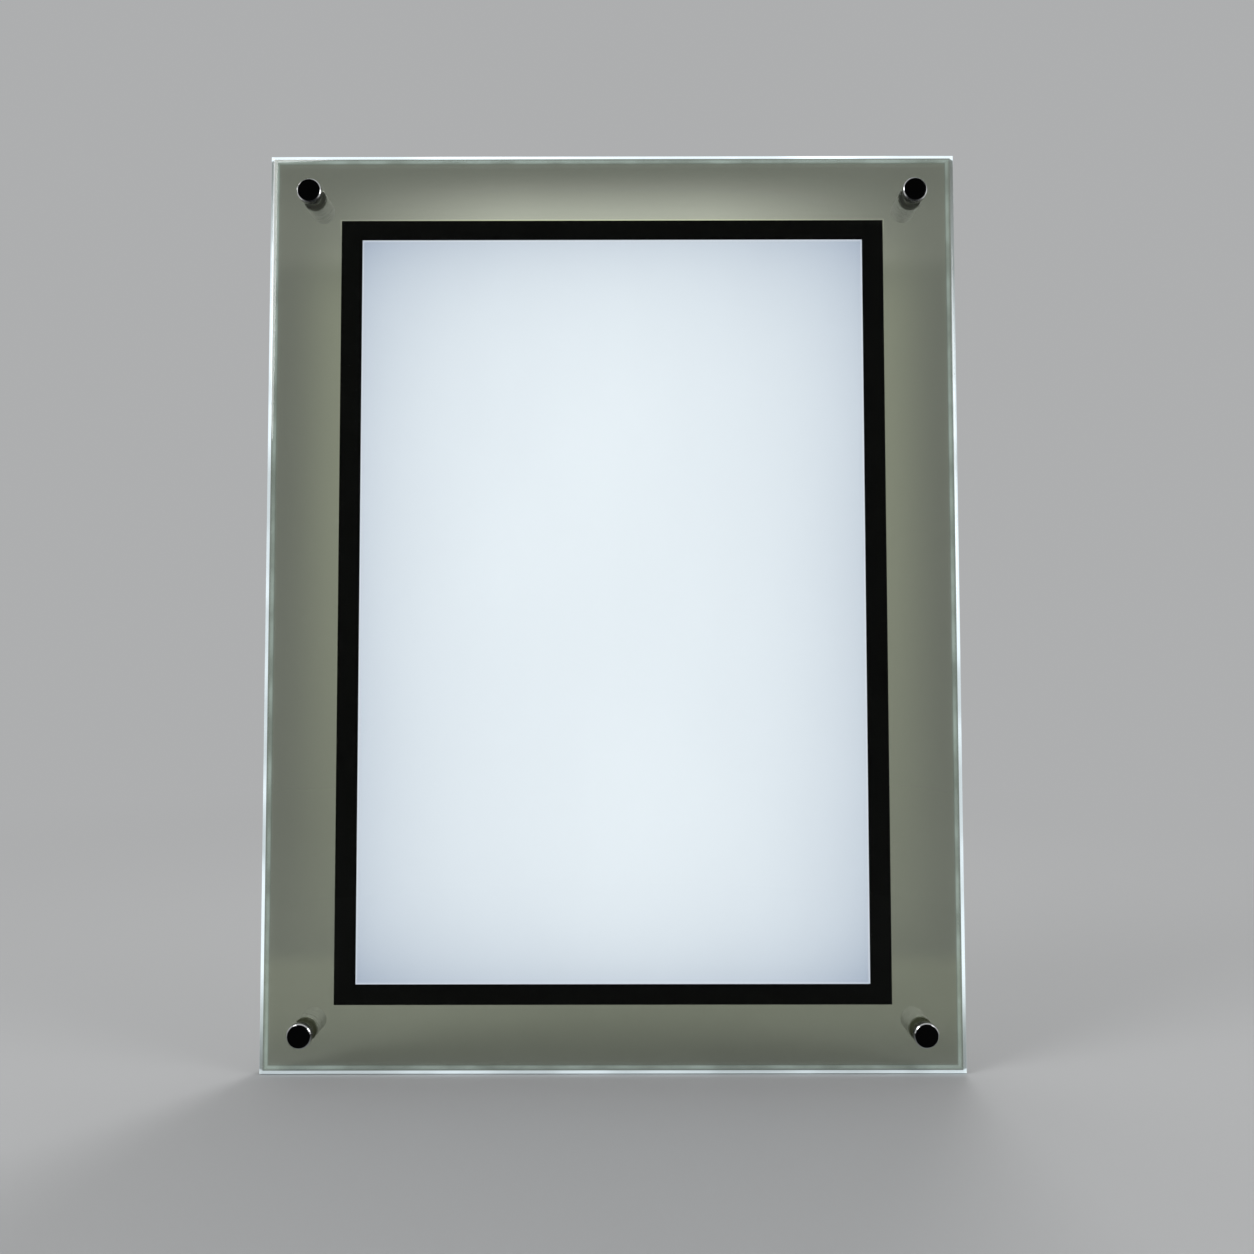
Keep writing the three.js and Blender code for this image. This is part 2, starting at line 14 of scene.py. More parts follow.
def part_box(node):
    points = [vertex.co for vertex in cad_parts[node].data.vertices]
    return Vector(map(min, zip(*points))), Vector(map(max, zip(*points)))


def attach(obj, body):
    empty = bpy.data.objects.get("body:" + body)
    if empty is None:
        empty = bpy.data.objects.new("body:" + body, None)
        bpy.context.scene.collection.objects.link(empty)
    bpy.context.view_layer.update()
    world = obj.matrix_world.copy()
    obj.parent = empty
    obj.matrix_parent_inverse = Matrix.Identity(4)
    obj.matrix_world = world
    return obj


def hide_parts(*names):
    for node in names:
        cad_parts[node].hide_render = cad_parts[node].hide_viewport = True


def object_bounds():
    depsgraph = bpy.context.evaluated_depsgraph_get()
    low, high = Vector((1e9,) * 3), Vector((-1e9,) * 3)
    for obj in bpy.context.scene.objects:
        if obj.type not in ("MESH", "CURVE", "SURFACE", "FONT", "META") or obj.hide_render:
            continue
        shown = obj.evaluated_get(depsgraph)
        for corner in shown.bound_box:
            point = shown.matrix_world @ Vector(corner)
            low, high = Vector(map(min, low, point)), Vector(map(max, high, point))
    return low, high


# Pieces are modelled in millimetres on a bench, where X is right, Y is up and Z is forward of the wall, as
# the light box is seen from the front. Bench.piece() stands them up in the part's frame, where forward is
# -Y, in metres. Finishes read places in the part's frame, so their ramps are in metres.

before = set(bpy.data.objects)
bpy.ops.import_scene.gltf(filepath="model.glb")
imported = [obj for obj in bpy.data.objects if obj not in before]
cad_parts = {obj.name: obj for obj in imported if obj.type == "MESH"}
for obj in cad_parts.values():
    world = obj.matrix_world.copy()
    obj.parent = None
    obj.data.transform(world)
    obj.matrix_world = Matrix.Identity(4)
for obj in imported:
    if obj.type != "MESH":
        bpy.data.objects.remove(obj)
CAD_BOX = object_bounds()

LOG = logging.getLogger("light_box")
MM = 0.001
STAND_UP = Matrix.Rotation(math.pi / 2, 4, "X") @ Matrix.Scale(MM, 4)
SHARP_ANGLE = math.radians(38)
WELD = 1e-4
THREAD_WELD = 0.002
THREAD_RUN = 0.95
LEAST_RADIUS = 0.05
TURNED_STEPS = 3
BLOCK_STEPS = 2
NOT_ZERO = 0.0001
COVER_SCREWS = [f"cover_screw_{number}" for number in range(1, 13)]
BOX_SCREWS = ["box_screw_1", "box_screw_2"]

Pair = tuple[float, float]
Triple = tuple[float, float, float]
Ramp = tuple[float, float, float, float]
Colour = Triple
Profile = Sequence[Pair]
Value = float | Triple | NodeSocket


class Corner(Enum):
    """A corner of the panel, by its name in the frame's nodes and bodies."""

    TOP_LEFT = "top_left"
    TOP_RIGHT = "top_right"
    BOTTOM_RIGHT = "bottom_right"
    BOTTOM_LEFT = "bottom_left"

    @property
    def place(self) -> Pair:
        """The axis of the corner's standoff, right and up, in millimetres."""
        room = Room.of(f"cap_{self.value}")
        return room.right, room.up


class Side(Enum):
    """A side of the lit window: its name, and its turn about the forward axis from the bottom one."""

    BOTTOM = ("bottom", 0.0)
    LEFT = ("left", -math.pi / 2)
    TOP = ("top", math.pi)
    RIGHT = ("right", math.pi / 2)

    @property
    def label(self) -> str:
        """The side's name in the frame's nodes."""
        return self.value[0]

    @property
    def turn(self) -> float:
        """How far the bottom side turns to become this one."""
        return self.value[1]

    @property
    def upright(self) -> bool:
        """Whether the side runs up the panel."""
        return self in (Side.LEFT, Side.RIGHT)


class Form(Enum):
    """What an outline is."""

    RECTANGLE = "rectangle"
    ROUND = "round"


# Node trees


class Nodes:
    """A node tree under work."""

    def __init__(self, tree: NodeTree) -> None:
        """Takes the tree up."""
        self.tree = tree

    def add(self, kind: str, inputs: dict[str | int, Value], **settings: object) -> Node:
        """Adds a node.

        Args:
            kind: The node's type.
            inputs: What goes into its sockets, a value or another node's socket.
            settings: The node's own properties.

        Returns:
            The node.
        """
        node = self.tree.nodes.new(kind)
        for name, value in settings.items():
            setattr(node, name, value)
        for key, value in inputs.items():
            self.feed(node.inputs[key], value)
        return node

    def feed(self, socket: NodeSocket, value: Value) -> None:
        """Sets or links a socket.

        Args:
            socket: The socket that takes the value.
            value: A number, a colour or another node's socket.
        """
        if isinstance(value, NodeSocket):
            self.tree.links.new(value, socket)
        elif isinstance(value, tuple) and socket.type == "RGBA":
            socket.default_value = (*value, 1.0)
        else:
            socket.default_value = value

    def calc(self, kind: str, first: Value, *others: Value, clamp: bool = False) -> NodeSocket:
        """Arithmetic by the name of a Math node, step by step where there are more than two values.

        Args:
            kind: What the node does.
            first: The first value.
            others: The values that follow it.
            clamp: Whether each step is held between 0 and 1.

        Returns:
            The result's socket.
        """
        for other in others or (0.0,):
            node = self.add("ShaderNodeMath", {0: first, 1: other}, operation=kind, use_clamp=clamp)
            first = node.outputs[0]
        return first

    def ranged(self, value: NodeSocket, low: float, high: float, start: float, end: float) -> NodeSocket:
        """A value between low and high brought between start and end, smoothly and held at both."""
        inputs = {"Value": value, 1: low, 2: high, 3: start, 4: end}
        return self.add("ShaderNodeMapRange", inputs, interpolation_type="SMOOTHSTEP").outputs[0]

    def ramps(self, *steps: tuple[NodeSocket, Ramp]) -> NodeSocket:
        """The product of ramps, each along a value of its own."""
        return self.calc("MULTIPLY", *(self.ranged(value, *ramp) for value, ramp in steps))

    def blend(self, share: Value, first: Value, second: Value) -> NodeSocket:
        """A colour between two, by a share of the second."""
        return self.add("ShaderNodeMix", {0: share, 6: first, 7: second}, data_type="RGBA").outputs[2]

    def axes(self, vector: NodeSocket) -> NodeOutputs:
        """The X, Y and Z of a vector."""
        return self.add("ShaderNodeSeparateXYZ", {0: vector}).outputs


class Recipe(Nodes):
    """A material under work: its Principled shader and the nodes that drive it."""

    def __init__(self, name: str) -> None:
        """Starts a material.

        Args:
            name: The material's name.
        """
        self.material = bpy.data.materials.new(name)
        self.material.use_nodes = True
        super().__init__(self.material.node_tree)
        self.shader = self.tree.nodes["Principled BSDF"]
        self.place = self.add("ShaderNodeTexCoord", {}).outputs["Object"]

    def set(self, **inputs: Value) -> None:
        """Sets the shader's sockets.

        Args:
            inputs: Their values, each under the socket's name with underscores for its spaces.
        """
        for name, value in inputs.items():
            label = name.replace("_", " ").title().replace("Ior", "IOR")
            self.feed(self.shader.inputs[label], value)

    def stretched(self, scale: Triple) -> NodeSocket:
        """The object's coordinates, stretched along each axis."""
        return self.add("ShaderNodeMapping", {"Vector": self.place, "Scale": scale}).outputs["Vector"]

    def noise(self, scale: float, detail: float = 3.0, stretch: Triple = (1.0, 1.0, 1.0)) -> NodeSocket:
        """A noise from 0 to 1, of so many features per metre and finer layers."""
        inputs = {"Vector": self.stretched(stretch), "Scale": scale, "Detail": detail}
        return self.add("ShaderNodeTexNoise", inputs).outputs[0]

    def relief(self, height: NodeSocket, depth: float) -> None:
        """Gives the shader relief, from a height of 0 to 1 and its depth in metres."""
        bump = self.add("ShaderNodeBump", {"Height": height, "Distance": depth})
        self.set(normal=bump.outputs["Normal"])

    def inset(self, half_width: float, half_height: float) -> NodeSocket:
        """How far a point lies inside a centred upright rectangle, negative outside it.

        Args:
            half_width: Half the rectangle's width.
            half_height: Half its height.

        Returns:
            The distance to its nearest side.
        """
        axes = self.axes(self.place)
        across = self.calc("SUBTRACT", half_width, self.calc("ABSOLUTE", axes["X"]))
        along = self.calc("SUBTRACT", half_height, self.calc("ABSOLUTE", axes["Z"]))
        return self.calc("MINIMUM", across, along)


# Finishes


@dataclass(frozen=True)
class Finish:
    """What every finish has: a name, a colour and a roughness that fine noise varies.

    The grain is in features per metre, as every noise is, and its depth in metres.
    """

    name: str
    colour: Colour
    roughness: float = 0.4
    mottle: float = 0.06
    grain: float = 900.0
    grain_depth: float = 0.00002

    # How many grains wide a patch and a cloud are, and the noise between which the roughness varies
    PATCH: ClassVar[float] = 30.0
    CLOUD: ClassVar[float] = 8.0
    CLOUDS: ClassVar[Pair] = (0.25, 0.75)

    @property
    def dark(self) -> Colour:
        """The colour where the noise darkens it."""
        return tuple(channel * (1 - 2 * self.mottle) for channel in self.colour)

    @property
    def varied(self) -> Pair:
        """The least and the most of the roughness."""
        return self.roughness * (1 - self.mottle * 3), self.roughness * (1 + self.mottle * 3)

    def build(self) -> Material:
        """Makes the material.

        Returns:
            The material, ready for a piece.
        """
        recipe = Recipe(self.name)
        self.dress(recipe)
        return recipe.material

    def dress(self, recipe: Recipe) -> None:
        """Gives the shader its colour, roughness and relief.

        Args:
            recipe: The material under work.
        """
        patches = recipe.noise(self.grain / self.PATCH, detail=4.0)
        recipe.set(base_color=recipe.blend(patches, self.colour, self.dark))
        clouds = recipe.noise(self.grain / self.CLOUD)
        recipe.set(roughness=recipe.ranged(clouds, *self.CLOUDS, *self.varied))
        if self.grain_depth:
            recipe.relief(recipe.noise(self.grain), self.grain_depth)


@dataclass(frozen=True)
class Plastic(Finish):
    """Moulded plastic or a coat of paint, with a fine relief."""

    gloss: float = 0.5

    def dress(self, recipe: Recipe) -> None:
        """Adds the plastic's gloss to the shared dressing."""
        super().dress(recipe)
        recipe.set(specular_ior_level=self.gloss)


@dataclass(frozen=True)
class Metal(Finish):
    """Metal, its relief stretched into lines along or round the piece."""

    stretch: Triple = (1.0, 1.0, 1.0)

    LINES: ClassVar[Pair] = (0.3, 0.7)

    def dress(self, recipe: Recipe) -> None:
        """Gives the metal its colour and its lines.

        Args:
            recipe: The material under work.
        """
        lines = recipe.noise(self.grain, detail=4.0, stretch=self.stretch)
        recipe.set(base_color=recipe.blend(lines, self.dark, self.colour), metallic=1.0)
        recipe.set(roughness=recipe.ranged(lines, *self.LINES, *self.varied))
        if self.grain_depth:
            recipe.relief(lines, self.grain_depth)


@dataclass(frozen=True)
class ClearPlate(Finish):
    """Clear acrylic: thick, polished, faintly tinted, with the finest of handling marks."""

    gloss: float = 0.06
    index: float = 1.49
    smear: float = 15.0
    smear_stretch: Triple = (1.0, 1.0, 0.35)

    SMEARS: ClassVar[Pair] = (0.35, 0.75)
    DULLED: ClassVar[float] = 3.0

    def dress(self, recipe: Recipe) -> None:
        """Makes the shader clear.

        Args:
            recipe: The material under work.
        """
        smears = recipe.noise(self.smear, detail=5.0, stretch=self.smear_stretch)
        smeared = tuple(channel * (1 - self.mottle) for channel in self.colour)
        recipe.set(base_color=recipe.blend(smears, self.colour, smeared))
        dulled = self.roughness * self.DULLED
        recipe.set(roughness=recipe.ranged(smears, *self.SMEARS, self.roughness, dulled))
        recipe.set(transmission_weight=1.0, ior=self.index, specular_ior_level=self.gloss)


@dataclass(frozen=True)
class LitMargin(ClearPlate):
    """Clear acrylic round the lit window, with painted glow: emission that stands in for light leaking into
    the plate, most beside the window.

    Each ramp has two places and the level at each. The levels along several axes are multiplied.
    """

    # Painted glow: emission colours standing in for leaked light, and for the bright line along the border
    side_leak_glow: Colour = (0.62, 0.66, 0.42)
    top_leak_glow: Colour = (0.92, 0.94, 0.84)
    line: Colour = (0.76, 0.84, 0.26)
    line_cover: float = 2.5
    border: Pair = (0.213, 0.3045)
    top: Ramp = (0.3005, 0.3515, 0.20, 0.0)
    top_across: Ramp = (0.06, 0.25, 1.0, 0.08)
    top_only: Ramp = (0.26, 0.28, 0.0, 1.0)
    side: Ramp = (0.209, 0.260, 0.085, 0.0)
    side_up: Ramp = (-0.38, 0.1, 0.2, 1.0)
    side_only: Ramp = (0.22, 0.33, 1.0, 0.0)
    bottom: Ramp = (-0.3515, -0.3045, 0.0, 0.035)
    bottom_only: Ramp = (-0.28, -0.26, 1.0, 0.0)
    line_outside: Ramp = (0.0004, 0.0016, 1.0, 0.0)
    line_inside: Ramp = (-0.0010, 0.0002, 0.0, 1.0)
    line_up: Ramp = (0.285, 0.304, 0.012, 0.24)
    line_across: Ramp = (0.08, 0.21, 1.0, 0.4)

    def dress(self, recipe: Recipe) -> None:
        """Adds the painted glow of leaked light to the clear plate, and a painted bright line of glow along
        the border.

        Args:
            recipe: The material under work.
        """
        super().dress(recipe)
        axes = recipe.axes(recipe.place)
        across, up = recipe.calc("ABSOLUTE", axes["X"]), axes["Z"]
        beside = recipe.calc("ABSOLUTE", up)
        outside = recipe.calc("MULTIPLY", recipe.inset(*self.border), -1.0)
        # Painted glow, brightest at the top, fainter at the sides and bottom, and in a line along the border
        top = recipe.ramps((up, self.top), (across, self.top_across), (up, self.top_only))
        side = recipe.ramps((across, self.side), (up, self.side_up), (beside, self.side_only))
        low = recipe.calc("ADD", side, recipe.ramps((up, self.bottom), (up, self.bottom_only)))
        line = recipe.ramps(
            (outside, self.line_outside), (outside, self.line_inside),
            (up, self.line_up), (across, self.line_across),
        )
        share = recipe.calc("DIVIDE", top, recipe.calc("ADD", top, low, NOT_ZERO))
        colour = recipe.blend(share, self.side_leak_glow, self.top_leak_glow)
        cover = recipe.calc("MULTIPLY", line, self.line_cover, clamp=True)
        recipe.set(emission_color=recipe.blend(cover, colour, self.line))
        recipe.set(emission_strength=recipe.calc("ADD", top, low, line))


@dataclass(frozen=True)
class GlowEdge(ClearPlate):
    """A polished edge of an edge-lit plate, where light leaves: most at the top, little near the corners."""

    glow: Colour = (0.82, 0.93, 1.0)
    least: float = 0.85
    most: float = 1.3
    patch: float = 12.0
    patches: Pair = (0.38, 0.62)
    side: Ramp = (0.271, 0.348, 0.66, 0.16)
    right: Ramp = (0.186, 0.276, 1.0, 0.25)
    left: Ramp = (-0.1, 0.1, 1.0, 0.0)
    end: Ramp = (-0.1, 0.1, 0.55, 1.0)
    end_only: Ramp = (0.3515, 0.3530, 0.0, 1.0)

    def dress(self, recipe: Recipe) -> None:
        """Adds the edge's light, in brighter and dimmer stretches.

        Args:
            recipe: The material under work.
        """
        super().dress(recipe)
        patches = recipe.noise(self.patch, detail=2.0)
        stretches = recipe.ranged(patches, *self.patches, self.least, self.most)
        axes = recipe.axes(recipe.place)
        height = axes["Z"]
        up = recipe.calc("ABSOLUTE", height)
        right, left = recipe.ranged(height, *self.right), recipe.ranged(axes["X"], *self.left)
        side = recipe.calc("MULTIPLY", recipe.ranged(up, *self.side), recipe.calc("MAXIMUM", right, left))
        share = recipe.ranged(up, *self.end_only)
        side = recipe.calc("MULTIPLY", side, recipe.calc("SUBTRACT", 1.0, share))
        end = recipe.calc("MULTIPLY", recipe.ranged(height, *self.end), share)
        strength = recipe.calc("MULTIPLY", stretches, recipe.calc("ADD", side, end))
        recipe.set(emission_color=self.glow, emission_strength=strength)


@dataclass(frozen=True)
class PaintedGlowFacet(ClearPlate):
    """The shallow inner facet of the front plate: greenish, with painted glow lighter along its middle."""

    glow: Colour = (0.62, 0.77, 0.73)
    plate: Pair = (0.269, 0.356)
    rise: Ramp = (0.0034, 0.0057, 0.03, 0.22)
    fall: Ramp = (0.0065, 0.0080, 1.0, 0.12)
    streak: float = 26.0
    streaks: Ramp = (0.3, 0.7, 0.45, 1.25)

    def dress(self, recipe: Recipe) -> None:
        """Adds the stripes of painted glow, which follow the plate's outline.

        Args:
            recipe: The material under work.
        """
        super().dress(recipe)
        inset = recipe.inset(*self.plate)
        streaks = recipe.noise(self.streak)
        strength = recipe.ramps((inset, self.rise), (inset, self.fall), (streaks, self.streaks))
        recipe.set(emission_color=self.glow, emission_strength=strength)


@dataclass(frozen=True)
class LitSheet(Finish):
    """The opal sheet behind the window: brightest in the middle, dimmer to its sides, with a bright rim."""

    middle: Colour = (0.86, 0.93, 1.0)
    corner: Colour = (0.385, 0.455, 0.575)
    rim_light: Colour = (0.80, 0.84, 0.92)
    window: Pair = (0.1965, 0.289)
    falls: Pair = (0.058, 0.045)
    fall_share: float = 0.5
    patch: float = 5.0
    patches: Ramp = (0.35, 0.65, -0.02, 0.02)
    rim: Ramp = (0.00052, 0.0013, 0.45, 0.0)

    def dress(self, recipe: Recipe) -> None:
        """Lights the sheet.

        Args:
            recipe: The material under work.
        """
        super().dress(recipe)
        axes = recipe.axes(recipe.place)
        lost: Value = 0.0
        for axis, half, fall in zip("XZ", self.window, self.falls):
            inset = recipe.calc("SUBTRACT", recipe.calc("ABSOLUTE", axes[axis]), half)
            lost = recipe.calc("ADD", recipe.calc("EXPONENT", recipe.calc("DIVIDE", inset, fall)), lost)
        soft = recipe.ranged(recipe.noise(self.patch, detail=1.0), *self.patches)
        share = recipe.calc("ADD", recipe.calc("MULTIPLY", lost, self.fall_share), soft, clamp=True)
        rim = recipe.ranged(recipe.inset(*self.window), *self.rim)
        colour = recipe.blend(rim, recipe.blend(share, self.middle, self.corner), self.rim_light)
        recipe.set(emission_color=colour, emission_strength=1.0)


@dataclass(frozen=True)
class DottedGuide(ClearPlate):
    """The light guide: clear, with rows of white dots that pass its light forward."""

    pitch: float = 0.004
    dot: Ramp = (0.22, 0.30, 0.8, 0.0)
    dot_light: Colour = (0.80, 0.88, 0.95)

    def dress(self, recipe: Recipe) -> None:
        """Paints the dots as glow: emission standing in for the light they scatter forward.

        Args:
            recipe: The material under work.
        """
        super().dress(recipe)
        where = recipe.stretched((1 / self.pitch, 0.0, 1 / self.pitch))
        dots = recipe.add("ShaderNodeTexVoronoi", {"Vector": where, "Scale": 1.0, "Randomness": 0.0})
        strength = recipe.ranged(dots.outputs["Distance"], *self.dot)
        recipe.set(emission_color=self.dot_light, emission_strength=strength)


@dataclass(frozen=True)
class Lamp(Finish):
    """The light-giving window of a package on a light strip."""

    strength: float = 1.0

    def dress(self, recipe: Recipe) -> None:
        """Lights the window."""
        super().dress(recipe)
        recipe.set(emission_color=self.colour, emission_strength=self.strength)


@dataclass(frozen=True)
class Shop:
    """Every finish of the light box, each made once."""

    made: dict[str, Material] = field(default_factory=dict)

    FINISHES: ClassVar[tuple[Finish, ...]] = (
        ClearPlate("clear_acrylic", (0.95, 0.96, 0.94), 0.006, 0.03),
        # Painted shade: the rear plate's margin and the front plate's edge, side and inner facet take darker
        # tints than the clear plate, darker copies of the one acrylic standing in for the shade of a dark
        # room seen through them
        LitMargin("acrylic_margin_glow_and_shade", (0.43, 0.455, 0.38), 0.006, 0.04),
        GlowEdge("glowing_edge", (0.55, 0.60, 0.66), 0.03, 0.04),
        GlowEdge("glowing_side", (0.70, 0.80, 0.77), 0.05, 0.04, least=0.06, most=0.3),
        PaintedGlowFacet("inner_facet", (0.62, 0.70, 0.66), 0.03, 0.04),
        DottedGuide("guide_dots", (0.93, 0.95, 0.96), 0.02, 0.03),
        Plastic("black_print", (0.0095, 0.0102, 0.0090), 0.6, 0.08, 2600.0, 0.000004, gloss=0.0),
        LitSheet("opal_sheet", (0.20, 0.21, 0.22), 0.55, 0.03, 1200.0, 0.0),
        Plastic("white_film", (0.86, 0.87, 0.87), 0.3, 0.03, 700.0, 0.000006),
        Plastic("cover_coat", (0.72, 0.745, 0.70), 0.45, 0.04, 1500.0, 0.00005),
        Plastic("solder_mask", (0.80, 0.83, 0.78), 0.35, 0.05, 1800.0, 0.000012),
        Plastic("package_white", (0.86, 0.86, 0.83), 0.4, 0.04, 2400.0, 0.000008),
        Lamp("package_window", (0.98, 0.93, 0.62), 0.4, 0.03, 2400.0, 0.0, strength=0.9),
        Metal("solder", (0.66, 0.67, 0.69), 0.3, 0.1, 1800.0, 0.00002),
        Metal("mill_aluminium", (0.70, 0.71, 0.73), 0.38, 0.1, 160.0, 0.000012, (0.06, 12.0, 12.0)),
        Metal("mill_aluminium_upright", (0.70, 0.71, 0.73), 0.38, 0.1, 160.0, 0.000012, (12.0, 12.0, 0.06)),
        Metal("polished_steel", (0.56, 0.57, 0.58), 0.07, 0.05, 500.0, 0.0),
        # Painted reflection: steel darkened so that the caps' faces and sides show a dark room
        Metal("mirror_painted_dark", (0.065, 0.065, 0.07), 0.08, 0.05, 500.0, 0.0),
        Metal("satin_steel", (0.60, 0.61, 0.63), 0.3, 0.05, 300.0, 0.000002, (0.25, 5.0, 0.25)),
        Metal("screw_steel", (0.58, 0.59, 0.60), 0.34, 0.12, 1500.0, 0.00001),
        ClearPlate("clear_vinyl", (0.84, 0.87, 0.86), 0.16, 0.05),
        Plastic("moulded_black", (0.017, 0.017, 0.018), 0.5, 0.06, 2200.0, 0.00004),
        Plastic("green_nylon", (0.045, 0.16, 0.07), 0.42, 0.08, 1600.0, 0.00002),
        Plastic("red_insulation", (0.40, 0.018, 0.014), 0.34, 0.06, 900.0, 0.00001),
        Plastic("black_insulation", (0.014, 0.014, 0.015), 0.34, 0.08, 900.0, 0.00001),
    )

    def get(self, *names: str) -> list[Material]:
        """The materials of finishes.

        Args:
            names: The finishes' names.

        Returns:
            The materials, each made when it is first asked for.
        """
        for name in names:
            if name not in self.made:
                finish = next(finish for finish in self.FINISHES if finish.name == name)
                self.made[name] = finish.build()
        return [self.made[name] for name in names]


# The bench


def placed(name: str, data: ID) -> Object:
    """A new object in the scene.

    Args:
        name: Its name.
        data: Its mesh, lamp or camera.

    Returns:
        The object, at the origin.
    """
    item = bpy.data.objects.new(name, data)
    bpy.context.scene.collection.objects.link(item)
    return item


def edges_of(verts: Iterable[BMVert]) -> list[BMEdge]:
    """The edges of vertices, each once."""
    return list(dict.fromkeys(edge for vert in verts for edge in vert.link_edges))


def bevel(bm: BMesh, items: Sequence[BMVert | BMEdge], width: float, steps: int, affect: str) -> list[BMVert]:
    """Rounds vertices or edges.

    Args:
        bm: The mesh.
        items: What is rounded.
        width: The round's width.
        steps: Its segments.
        affect: VERTICES or EDGES.

    Returns:
        The new vertices.
    """
    made = bmesh.ops.bevel(
        bm, geom=items, offset=width, offset_type="OFFSET", segments=steps, profile=0.5, affect=affect,
        material=-1, clamp_overlap=True,
    )
    return made["verts"]


@dataclass(frozen=True)
class Outline:
    """A closed outline in the front view, in millimetres."""

    form: Form
    width: float
    height: float
    radius: float = 0.0
    right: float = 0.0
    up: float = 0.0
    segments: int = 8

    def grown(self, by: float) -> "Outline":
        """The same outline moved outward by a distance."""
        radius = max(self.radius + by, LEAST_RADIUS) if self.radius else 0.0
        return replace(self, width=self.width + 2 * by, height=self.height + 2 * by, radius=radius)

    def draw(self, bm: BMesh, forward: float) -> list[BMEdge]:
        """Draws the outline as a loop.

        Args:
            bm: The mesh that takes it.
            forward: How far forward of the wall it lies.

        Returns:
            The loop's edges.
        """
        square = self.form is Form.RECTANGLE
        segments, reach, turn = (4, math.sqrt(0.5), math.pi / 4) if square else (self.segments, 0.5, 0.0)
        turned = Matrix.Rotation(turn, 4, "Z")
        made = bmesh.ops.create_circle(bm, cap_ends=False, segments=segments, radius=reach, matrix=turned)
        verts = made["verts"]
        bmesh.ops.scale(bm, vec=(self.width, self.height, 1), verts=verts)
        bmesh.ops.translate(bm, vec=(self.right, self.up, forward), verts=verts)
        if self.radius:
            verts = bevel(bm, verts, self.radius, self.segments, "VERTICES")
        return edges_of(verts)


def rectangle(
    width: float, height: float, radius: float = 0.0, right: float = 0.0, up: float = 0.0
) -> Outline:
    """A rectangle round a middle, its corners rounded where a radius is given."""
    return Outline(Form.RECTANGLE, width, height, radius, right, up)


def circle(diameter: float, right: float = 0.0, up: float = 0.0, segments: int = 48) -> Outline:
    """A circle round a middle."""
    return Outline(Form.ROUND, diameter, diameter, 0.0, right, up, segments)


@dataclass(frozen=True)
class Level:
    """A step of a wall: how far forward, how far the outline grows, and the finish of the band up to it."""

    forward: float
    grow: float = 0.0
    finish: int = 0


Opening = tuple[Outline, Sequence[Level]]


def eased(back: float, front: float, ease: float, finish: int = 0, sign: float = 1.0) -> list[Level]:
    """The levels of a straight wall whose two edges are broken.

    Args:
        back: The station of the wall's back edge.
        front: The station of its front edge.
        ease: The width of the broken edges.
        finish: The finish of the whole wall.
        sign: 1 for an outer wall, -1 for a hole's.

    Returns:
        The levels, from the back forward.
    """
    soft = ease * (1 - math.sqrt(0.5))
    steps = ((0, -ease), (soft, -soft), (ease, 0))
    start = [Level(back + rise, sign * grow, finish) for rise, grow in steps]
    return start + [Level(front - rise, sign * grow, finish) for rise, grow in reversed(steps)]


@dataclass(frozen=True)
class Room:
    """Where a node of the frame lies, in millimetres: its middle, its size, its back and its front."""

    right: float
    up: float
    width: float
    height: float
    back: float
    front: float

    @classmethod
    def of(cls, node: str) -> "Room":
        """The room of a node.

        Args:
            node: The node's name.

        Returns:
            Its place and size.
        """
        low, high = (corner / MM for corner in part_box(node))
        middle, size = (low + high) / 2, high - low
        return cls(middle.x, middle.z, size.x, size.z, -high.y, -low.y)

    @property
    def depth(self) -> float:
        """How deep it is."""
        return self.front - self.back

    @property
    def station(self) -> float:
        """The station of its middle."""
        return (self.back + self.front) / 2


